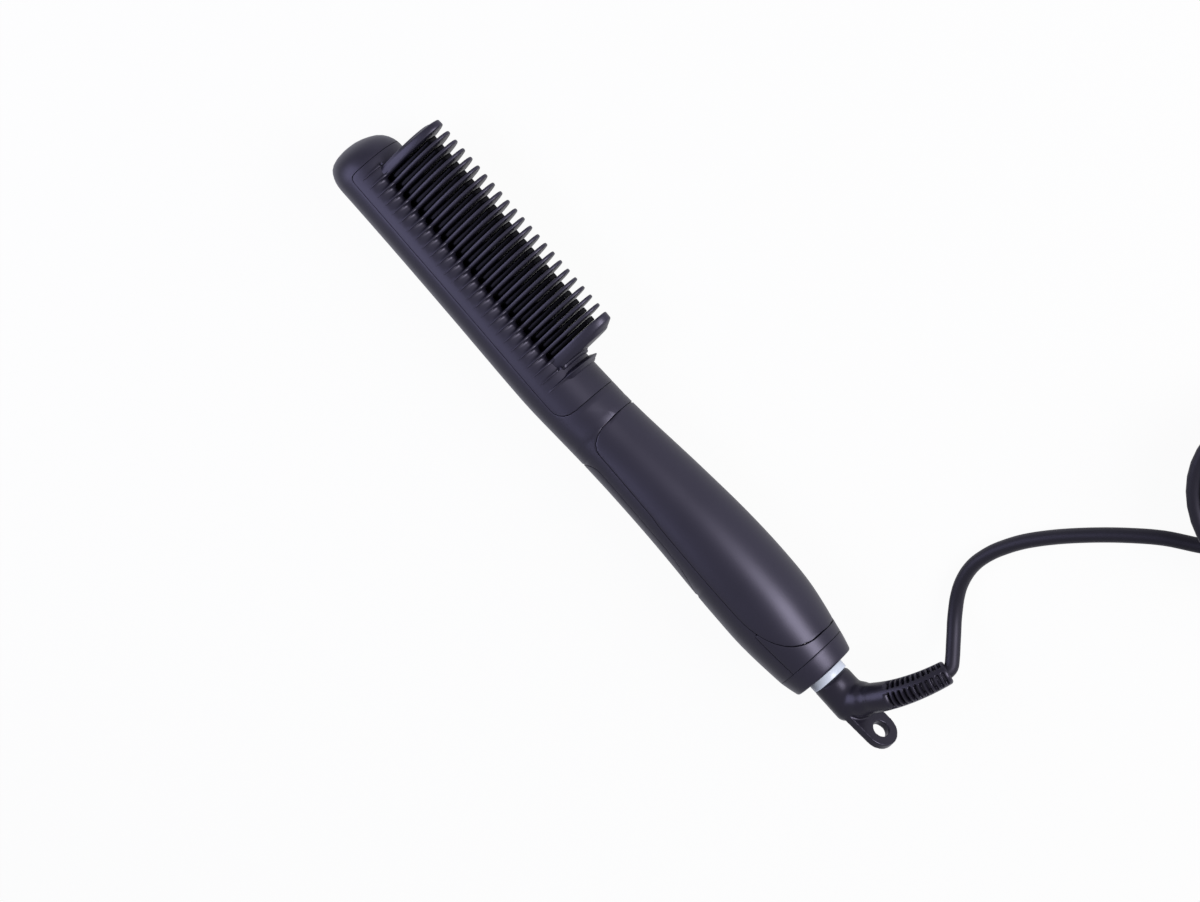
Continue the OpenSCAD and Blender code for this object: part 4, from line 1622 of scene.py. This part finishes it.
@dataclass
class Swivel:
    """White collar, elbow with its hanging loop, and the slotted strain relief."""

    collar_start: float = 268.1
    collar_end: float = 271.3
    elbow_r: float = 7.7
    elbow_end: float = 287.6
    elbow_round: float = 4.0
    grid: float = 0.28
    rounds: int = 9
    crotch_rounds: int = 220
    root: Key = (282.2, 0.0)
    branch_angle: float = 67.7
    branch_len: float = 12.5
    branch_r: float = 5.7
    relief_turn: float = 44.0
    relief_lean: float = 85.0
    relief_len: float = 31.5
    relief_tip_r: float = 4.6
    relief_round: float = 1.1
    slots: int = 11
    slot_pitch: float = 2.03
    slot_first: float = 9.1
    slot_w: float = 1.1
    slot_core_r: float = 3.3
    slot_rows: tuple[float, ...] = (99.0, 17.0, 220.5)
    slot_half: tuple[Key, ...] = ((42.0, 36.0), (23.0, 22.0), (44.0, 34.0))
    loop_root: float = 287.0
    loop_out: float = 10.7
    loop_lean: float = 5.0
    loop_r: float = 7.1
    loop_t: float = 3.4
    hole_r: float = 3.3

    def tilt(self, piece: Piece) -> Piece:
        """Turns a piece about the long axis to where the swivel rests.

        Args:
            piece: The piece, made upright.

        Returns:
            The same piece.
        """
        middle = Matrix.Translation(at((0, 0, 0)))
        piece.data.transform(middle @ Matrix.Rotation(SWIVEL_REST, 4, "X") @ middle.inverted())
        return piece

    def make_core(self) -> Piece:
        """Turns the white collar with its shaft and the clip's groove.

        Returns:
            The core.
        """
        r, shaft, groove = self.elbow_r - 0.05, 4.5, 3.7
        profile = [
            (236, 0), (236, shaft), (250.5, shaft), (250.5, groove), (251.7, groove), (251.7, shaft),
            (self.collar_start, shaft), (self.collar_start, r), (self.collar_end, r),
            (self.collar_end, 0),
        ]
        return soften(turned("swivel_core", profile), 0.15)

    def make_elbow(self) -> Piece:
        """Fuses the elbow, the foot of its branch and the hanging loop with soft fillets.

        Returns:
            The elbow.
        """
        start, r = self.collar_end + 0.02, self.elbow_round
        shoulder = arc((self.elbow_end - r, self.elbow_r - r), r, 90, 0, 8)
        profile = [(start, 0.0), (start, self.elbow_r), *shoulder, (self.elbow_end, 0.0)]
        piece = turned("swivel_elbow", profile, 64)
        for part in (self.make_branch(), self.make_loop()):
            fuse(piece, part)
        middle = self.loop_point(self.loop_out, 0.0)
        across = self.loop_point(0.0, 10.0) - self.loop_point(0.0, 0.0)
        cut(piece, peg("hole", middle - across, middle + across, self.hole_r, 64))
        modify(piece, "REMESH", mode="VOXEL", voxel_size=self.grid * MM, use_smooth_shade=True)
        modify(piece, "SMOOTH", factor=0.5, iterations=self.rounds)
        self.soften_crotch(piece)
        pick_up(piece)
        bpy.ops.object.shade_smooth()
        return self.tilt(piece)

    def soften_crotch(self, piece: Piece) -> None:
        """Smooths the elbow's side where the branch leaves it, and nothing beyond.

        Args:
            piece: The fused elbow, still upright.
        """
        side, reach, tail = 1.5, 12.5, 290.0
        crotch = piece.vertex_groups.new(name="crotch")
        for vertex in piece.data.vertices:
            p = vertex.co / MM + ORIGIN
            near = smooth_step((p.y - side) / 3) * smooth_step((reach - math.hypot(p.y, p.z)) / 3)
            crotch.add([vertex.index], near * smooth_step((tail - p.x) / 2), "REPLACE")
        modify(piece, "SMOOTH", factor=0.5, iterations=self.crotch_rounds, vertex_group="crotch")

    def make_branch(self) -> Piece:
        """Makes the branch's foot, which flares softly into the elbow.

        Returns:
            The closed foot.
        """
        centre, along, across = self.relief_frame(0.0)
        flare, first, last = 0.1, 1.6, 5.2
        rings = []
        for left in (self.branch_len, 8.5, 6.5, 5.5, 4.7, 4.0, 3.2, 2.4, 1.6, 0.8, 0.0):
            r = self.branch_r + flare * max(0.0, min(left, last) - first) ** 2
            rings.append(self.ring_about(centre - along * left, along, across, [r] * 64))
        return loft("branch", rings)

    def loop_point(self, out: float, off: float, z: float = 0.0) -> Vector:
        """Point of the upright swivel, beside the leaning loop.

        Args:
            out: How far out along the loop, in millimetres.
            off: How far off its middle plane.
            z: Height.

        Returns:
            The point in the wand's frame.
        """
        c, s = math.cos(math.radians(self.loop_lean)), math.sin(math.radians(self.loop_lean))
        return Vector((self.loop_root + out * c - off * s, out * s + off * c, z))

    def make_loop(self) -> Piece:
        """Makes the flat hanging loop without its hole.

        Returns:
            The closed loop.
        """
        half, foot, r = self.loop_t / 2, -7.0, self.loop_r
        outline = [(foot, -r), (foot, r), *arc((self.loop_out, 0.0), r, 90, -90, 24)]
        corners = [self.loop_point(out, -half, z) for out, z in outline]
        return plate("loop", corners, self.loop_point(0.0, half) - self.loop_point(0.0, -half))

    def relief_frame(self, s: float) -> tuple[Vector, Vector, Vector]:
        """Follows the bent relief.

        Args:
            s: Place along the relief in millimetres, less than 0 inside the elbow.

        Returns:
            Its centre, its direction and its sideways direction there.
        """
        first, lean = math.radians(self.branch_angle), math.radians(self.relief_lean)
        along = Vector((math.cos(first), math.sin(first), 0.0))
        bow = Vector((-along.y * math.cos(lean), along.x * math.cos(lean), -math.sin(lean)))
        bend = self.relief_len / math.radians(self.relief_turn)
        cosine, sine = math.cos(s / bend), math.sin(s / bend)
        root = Vector((*self.root, 0.0)) + along * self.branch_len
        ahead = along * cosine + bow * sine
        centre = root + bend * (along * sine + bow * (1 - cosine))
        return centre, ahead, Vector((0, 0, 1)).cross(ahead).normalized()

    def ring_about(
        self, centre: Vector, ahead: Vector, across: Vector, radii: Sequence[float]
    ) -> list[Vector]:
        """Draws a ring square to a direction.

        Args:
            centre: Middle of the ring.
            ahead: Direction that the ring is square to.
            across: Sideways direction, where the ring starts.
            radii: Radius of each of its points.

        Returns:
            The points of the ring.
        """
        up, round_it = ahead.cross(across), arc((0, 0), 1, 0, 360, len(radii))
        return [centre + r * (c * across + s * up) for r, (c, s) in zip(radii, round_it)]

    def slot_depth(self, s: float, angle: float) -> float:
        """How deep a slot is cut.

        Args:
            s: Place along the relief in millimetres.
            angle: Angle from the sideways direction in degrees.

        Returns:
            1 inside a slot, 0 on the ribs between them and on the three spines.
        """
        last, half = self.slots - 1, self.slot_w / 2
        nearest = min(last, max(0, round((s - self.slot_first) / self.slot_pitch)))
        across = abs(s - self.slot_first - nearest * self.slot_pitch)
        past = min(
            abs((angle - row + 180) % 360 - 180) - start - (end - start) * nearest / last
            for row, (start, end) in zip(self.slot_rows, self.slot_half)
        )
        beyond = max(0.0, math.radians(past) * self.relief_radius(s) + half)
        rim = 0.12
        return 1.0 - smooth_step((math.hypot(across, beyond) - half + rim) / (2 * rim))

    def relief_radius(self, s: float) -> float:
        """Outer radius of the relief, with its rounded end.

        Args:
            s: Place along the relief in millimetres.

        Returns:
            The radius in millimetres.
        """
        r = self.branch_r + (self.relief_tip_r - self.branch_r) * s / self.relief_len
        left, soft = self.relief_len - s, self.relief_round
        if left >= soft:
            return r
        return r - soft + math.sqrt(max(0.0, soft**2 - (soft - left) ** 2))

    def make_relief(self) -> Piece:
        """Moulds the slotted strain relief, bent as it rests.

        Returns:
            The relief.
        """
        end = self.relief_len - self.relief_round
        stations, s = [-1.2, -0.6, 0.0], 0.5
        for limit, step in ((self.slot_first - 1.0, 0.9), (end - 0.1, 0.13)):
            while s < limit:
                stations.append(s)
                s += step
        stations += [end + self.relief_round * math.sin(math.radians(a)) for a in range(0, 91, 10)]
        sides, rings = 120, []
        for s in stations:
            outer = self.relief_radius(max(0.0, s)) - (0.05 if s < 0 else 0.0)
            deep = self.slot_core_r - outer
            radii = [outer + deep * self.slot_depth(s, 360 * j / sides) for j in range(sides)]
            rings.append([on_swivel(p) for p in self.ring_about(*self.relief_frame(s), radii)])
        return loft("strain_relief", rings, 60)

    def build(self, palette: Palette) -> list[Piece]:
        """Makes the swivel's pieces and hands them over.

        Args:
            palette: The materials.

        Returns:
            The core, the elbow and the relief.
        """
        rides, black = Body.SWIVEL, "swivel_plastic"
        return [
            palette.hand_over(self.make_core(), "collar_plastic", rides, "swivel_core"),
            palette.hand_over(self.make_elbow(), black, rides, "swivel_elbow"),
            palette.hand_over(self.make_relief(), black, rides, "strain_relief"),
        ]


# Cord


@dataclass
class Cord:
    """Mains lead: its free stretch, the coil that is put away, the tie and the plug."""

    diameter: float = 5.5
    floor: float = -18.0
    coil_x: float = 322.5
    coil_y: float = 199.0
    coil_r: float = 28.0
    pitch: float = 6.0
    layers: int = 4
    leaves: Point = (296.576, 38.588, -3.505)
    start: float = -58.0
    turns: float = 8.926
    cut_off: float = 0.01
    lift: float = 1.1
    route: tuple[Point, ...] = (
        (296.4, 41.3, -5.4), (293.7, 43.8, -7.5), (290.8, 45.9, -9.6), (287.7, 48.3, -11.6),
        (284.5, 51, -13.2), (281.7, 53.9, -14.3), (278.7, 57.6, -15), (275.9, 62.4, -15.2),
        (273.9, 68, -15.2), (273, 73.8, -15.2), (273.3, 79.8, -15.2), (274.6, 86.4, -15.2),
        (278, 96.3, -15.2), (283.9, 107.8, -15.2), (291.4, 119.7, -15.2), (299.4, 130.8, -15.2),
        (308, 141.1, -15.2), (317.7, 150, -15.1), (328.2, 160.9, -14.45),
    )
    lead: tuple[Point, ...] = (
        (334, 165.6, 4.8), (339.4, 167.4, 7), (345, 171, 9.4), (349.2, 176.6, 11.8),
        (351.1, 183.4, 13.6),
    )
    tie_angle: float = 135.0
    tie_w: float = 10.0
    tie_t: float = 0.8
    tie_gap: float = 0.3
    tie_round: float = 3.0
    plug_start: Point = (349.8, 190.6, 14.4)
    plug_heading: float = 105.0
    relief_len: float = 20.0
    plug_len: float = 24.0

    @property
    def turns_per_layer(self) -> float:
        """Number of turns in one layer of the coil."""
        return self.turns / self.layers

    @property
    def inner_r(self) -> float:
        """Radius of the innermost turn's middle."""
        return self.coil_r - self.pitch * self.turns_per_layer / 2

    @property
    def coil_z(self) -> float:
        """Height of the lowest layer's middle."""
        return self.floor + self.diameter / 2 + self.lift

    def coil_point(self, u: float) -> Vector:
        """Follows the coil's centre line, which climbs from layer to layer at its sides.

        Args:
            u: Number of turns from the coil's start.

        Returns:
            The point in the wand's frame.
        """
        n = round(u / self.turns_per_layer)
        d = u - n * self.turns_per_layer
        layer = math.floor(u / self.turns_per_layer)
        climb = 0.25
        rise = layer
        if 0 < n < self.layers and abs(d) <= climb:
            rise = n - 1 + (1 - math.cos(2 * math.pi * (d + climb))) / 2
        within = u / self.turns_per_layer - layer
        share = 1 - within if layer % 2 == 0 else within
        r = self.inner_r + self.pitch * self.turns_per_layer * share
        a = math.radians(self.start + 360 * u)
        height = self.coil_z + self.pitch * min(rise, self.layers - 1)
        return Vector((self.coil_x + r * math.cos(a), self.coil_y + r * math.sin(a), height))

    def centre_line(self) -> list[Vector]:
        """Draws the whole centre line of the lead.

        Returns:
            Its points in the wand's frame, from the strain relief to the plug.
        """
        first, last = self.cut_off, self.turns - self.cut_off
        beyond = []
        for u, inside, way in ((0, first, -1), (self.turns, last, 1)):
            a = math.radians(self.start + 360 * u + 90)
            straight_on = Vector((math.cos(a), math.sin(a), 0)) * way * self.diameter
            beyond.append(self.coil_point(inside) + straight_on)
        free = smooth_path([self.leaves, *self.route, beyond[0]], 5)
        count = int(self.turns * 40)
        coil = [self.coil_point(first + (last - first) * k / count) for k in range(count + 1)]
        return free + coil + smooth_path([beyond[1], *self.lead, self.plug_start], 5)

    def make_lead(self) -> Piece:
        """Draws the whole lead as one round curve.

        Returns:
            The lead, a curve object.
        """
        line = [at(p) for p in self.centre_line()]
        put_down()
        bpy.ops.curve.primitive_nurbs_path_add()
        piece = in_hand("cord")
        curve = piece.data
        curve.splines.clear()
        spline = curve.splines.new("POLY")
        spline.points.add(len(line) - 1)
        for target, point in zip(spline.points, line):
            target.co = (*point, 1.0)
        spline.use_smooth = True
        curve.dimensions = "3D"
        curve.bevel_depth = self.diameter / 2 * MM
        curve.bevel_resolution = 6
        curve.use_fill_caps = True
        return piece

    def make_tie(self) -> Piece:
        """Makes the rubber band round the coil's turns.

        Returns:
            The closed band.
        """
        cord_r, half = self.diameter / 2, self.tie_w / 2
        inner = math.sqrt((self.inner_r - cord_r) ** 2 - half**2) - self.tie_gap
        outer = 2 * self.coil_r - self.inner_r + cord_r + self.tie_gap
        top = self.coil_z + self.pitch * (self.layers - 1) + cord_r + self.tie_gap
        low = self.floor + self.tie_t
        turn = Matrix.Rotation(math.radians(self.tie_angle), 3, "Z")
        middle = Vector((self.coil_x, self.coil_y, 0))
        box = round_box((inner, outer), (low, top), self.tie_round)
        outline = [middle + turn @ Vector((x, -half, z)) for x, z in box]
        piece = plate("coil_tie", outline, turn @ Vector((0, self.tie_w, 0)), "NOTHING")
        inside = at(middle + turn @ Vector(((inner + outer) / 2, 0, (low + top) / 2)))
        face_out(piece, lambda p: inside)
        modify(piece, "SOLIDIFY", thickness=self.tie_t * MM, offset=1.0, use_even_offset=True)
        return soften(piece, 0.2)

    def on_plug(self, point: Point) -> Vector:
        """Turns a point of the plug's frame into the wand's frame, both in millimetres."""
        turn = Matrix.Rotation(math.radians(self.plug_heading), 3, "Z")
        return Vector(self.plug_start) + turn @ Vector(point)

    def make_plug_body(self) -> Piece:
        """Moulds the plug with its tapered relief.

        Returns:
            The closed body.
        """
        b, end = self.relief_len, self.relief_len + self.plug_len
        stations = [
            (0.0, 3.4, 3.4), (0.6, 3.5, 3.5), (6, 3.8, 3.7), (b - 4, 4.6, 4.4), (b, 6.4, 5.6),
            (b + 4, 8.8, 6.4), (b + 9, 9.8, 6.5), (b + 14, 10.4, 6.6), (b + 20, 11.4, 7.2),
            (end - 2.2, 11.6, 7.3), (end - 0.8, 11.6, 7.3), (end - 0.25, 11.4, 7.1), (end, 11, 6.7),
        ]
        sides, blunt = 48, 0.6
        rings = []
        for x, half_w, half_h in stations:
            ring = []
            for c, s in arc((0, 0), 1, 0, 360, sides)[:-1]:
                w = -half_w * math.copysign(abs(c) ** blunt, c)
                ring.append(self.on_plug((x, w, half_h * math.copysign(abs(s) ** blunt, s))))
            rings.append(ring)
        return loft("plug_body", rings, 50)

    def make_blades(self) -> Piece:
        """Makes the plug's two flat blades with their holes.

        Returns:
            The pair of blades.
        """
        base = self.relief_len + self.plug_len
        corners = [(0, -3.15), (15.6, -3.15), (17, -1.9), (17, 1.9), (15.6, 3.15), (0, 3.15)]
        thick, apart, hole_at, hole_r = 1.5, 12.7, 13.0, 1.6
        across = self.on_plug((0, thick, 0)) - self.on_plug((0, 0, 0))
        blades = []
        for y in (-apart / 2, apart / 2):
            outline = [self.on_plug((base + x, y - thick / 2, z)) for x, z in corners]
            blade = plate("blade", outline, across)
            hole = [self.on_plug((base + hole_at, y + off, 0)) for off in (-3, 3)]
            cut(blade, peg("hole", *hole, hole_r))
            blades.append(soften(blade, 0.18))
        return join("plug_blades", blades)

    def build(self, palette: Palette) -> list[Piece]:
        """Args:
            palette: The materials.

        Returns:
            The lead, the tie, the plug and its blades.
        """
        rides, rubber = Body.SWIVEL, "cord_rubber"
        stretches = ["cord", "cord_coil", "plug_lead"]
        lead = palette.hand_over(self.make_lead(), rubber, rides, *stretches)
        tie = palette.hand_over(self.make_tie(), rubber, rides, "coil_tie")
        plug = palette.hand_over(self.make_plug_body(), rubber, rides, "plug_body")
        blades = palette.hand_over(self.make_blades(), "brass", rides, "plug_blades")
        line = self.centre_line()
        length = sum((b - a).length for a, b in zip(line, line[1:])) * MM
        tuple(at(self.leaves))
        log.info("lead of %.3f m", length)
        return [lead, tie, plug, blades]


# Studio


@dataclass(frozen=True)
class SoftBox:
    """One soft box of the studio.

    Attributes:
        name: Name of the light.
        direction: Where it hangs, seen from the object.
        distance: How far off it hangs, in metres.
        size: Width and height in metres.
        power: Power in watts.
        colour: Colour of the light.
    """

    name: str
    direction: Point
    distance: float
    size: Key
    power: float
    colour: Colour

    def hang(self) -> None:
        """Adds the light, turned towards the object."""
        away = Vector(self.direction).normalized()
        put_down()
        middle = Vector((0, 0, 0.02))
        bpy.ops.object.light_add(type="AREA", location=away * self.distance + middle)
        lamp = bpy.context.object
        lamp.name = self.name
        lamp.data.shape = "RECTANGLE"
        lamp.data.size, lamp.data.size_y = self.size
        lamp.data.energy = self.power
        lamp.data.color = self.colour
        lamp.rotation_mode = "QUATERNION"
        lamp.rotation_quaternion = away.to_track_quat("Z", "Y")


@dataclass
class Studio:
    """Camera, pale floor, world and lights."""

    lens: float = 96.4
    place: Point = (193.0, 747.02, 954.42)
    forward: Point = (-0.03594954, -0.62051266, -0.78337198)
    roll: float = 47.97
    rise: float = 38.0
    floor_white: Key = (0.95, 0.45)
    world_white: Key = (1.0, 0.5)
    boxes: tuple[SoftBox, ...] = (
        SoftBox("front_box", (0.42, 0.82, 0.4), 1.3, (0.8, 0.65), 17.0, (1.0, 0.98, 1.0)),
        SoftBox("head_box", (-0.54, -0.34, 0.77), 0.65, (0.5, 0.5), 2.2, (0.74, 0.74, 1.0)),
    )

    def make_camera(self) -> None:
        """Sets the camera that took the picture."""
        put_down()
        bpy.ops.object.camera_add()
        camera = bpy.context.object
        camera.name = "product_camera"
        camera.data.lens = self.lens
        camera.data.sensor_width = 36.0
        camera.data.sensor_fit = "HORIZONTAL"
        ahead = Vector(self.forward)
        a, r = math.radians(self.roll), math.radians(self.rise)
        rough = Vector((math.cos(a), math.cos(r) * math.sin(a), -math.sin(r) * math.sin(a)))
        right = (rough - ahead * rough.dot(ahead)).normalized()
        up = right.cross(ahead)
        axes = Matrix((right, up, -ahead)).transposed()
        camera.matrix_world = Matrix.Translation(at(self.place)) @ axes.to_4x4()
        bpy.context.scene.camera = camera

    def white_backdrop(
        self,
        tree: bpy.types.NodeTree,
        shader: bpy.types.NodeSocket,
        white: bpy.types.NodeSocket,
        share: float,
        mirrored: float,
    ) -> bpy.types.NodeSocket:
        """Shows plain white to camera, glossy and transmission rays.

        Args:
            tree: The nodes of the floor's material or of the world.
            shader: What the other rays see.
            white: Plain white.
            share: Share of plain white that camera and transmission rays see.
            mirrored: Share of it that glossy rays see.

        Returns:
            The mixed shader.
        """
        rays = add_node(tree, "LightPath", {}).outputs
        seen = reckon(tree, "MAXIMUM", rays["Is Camera Ray"], rays["Is Transmission Ray"])
        through = reckon(tree, "MULTIPLY", seen, share)
        glossy = reckon(tree, "MULTIPLY", rays["Is Glossy Ray"], mirrored)
        mix = {"Fac": reckon(tree, "MAXIMUM", through, glossy), 1: shader, 2: white}
        return add_node(tree, "MixShader", mix).outputs["Shader"]

    def make_floor(self) -> None:
        """Lays the plain pale floor under the wand."""
        put_down()
        bpy.ops.mesh.primitive_grid_add(
            x_subdivisions=4, y_subdivisions=4, size=8, location=(0, 0, -0.0004)
        )
        floor = in_hand("floor")
        material = bpy.data.materials.new("pale_floor")
        material.use_nodes = True
        tree = material.node_tree
        pale = {"Base Color": (0.86, 0.86, 0.87, 1), "Roughness": 0.9, "Specular IOR Level": 0.1}
        shader = feed(tree, tree.nodes["Principled BSDF"], pale).outputs["BSDF"]
        glow = add_node(tree, "Emission", {}).outputs["Emission"]
        mixed = self.white_backdrop(tree, shader, glow, *self.floor_white)
        feed(tree, tree.nodes["Material Output"], {"Surface": mixed})
        floor.data.materials.append(material)

    def make_world(self) -> None:
        """Sets a white backdrop for the camera and a dim even light for the rest."""
        world = bpy.data.worlds.new("studio")
        bpy.context.scene.world = world
        world.use_nodes = True
        tree = world.node_tree
        even = {"Color": (0.86, 0.88, 1.0, 1), "Strength": 0.15}
        dim = feed(tree, tree.nodes["Background"], even).outputs["Background"]
        white = add_node(tree, "Background", {"Strength": 1.0}).outputs["Background"]
        mixed = self.white_backdrop(tree, dim, white, *self.world_white)
        feed(tree, tree.nodes["World Output"], {"Surface": mixed})

    def build(self) -> None:
        """Makes the camera, the floor, the world and the lights."""
        self.make_camera()
        self.make_floor()
        self.make_world()
        for box in self.boxes:
            box.hang()
        bpy.context.scene.view_settings.view_transform = "Standard"


def main() -> None:
    """Builds the sub-assemblies in order and reports each piece."""
    logging.basicConfig(level=logging.INFO, format="%(name)s: %(message)s")
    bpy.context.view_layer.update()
    Studio().build()
    palette, housing = Palette(), Housing()
    pieces = []
    for assembly in (Cord(), housing, Comb(housing), Controls(housing), Swivel()):
        pieces += assembly.build(palette)
    palette.dress_hidden()
    log.info("%d new pieces", len(pieces))
    put_down()


if __name__ == "__main__":
    main()
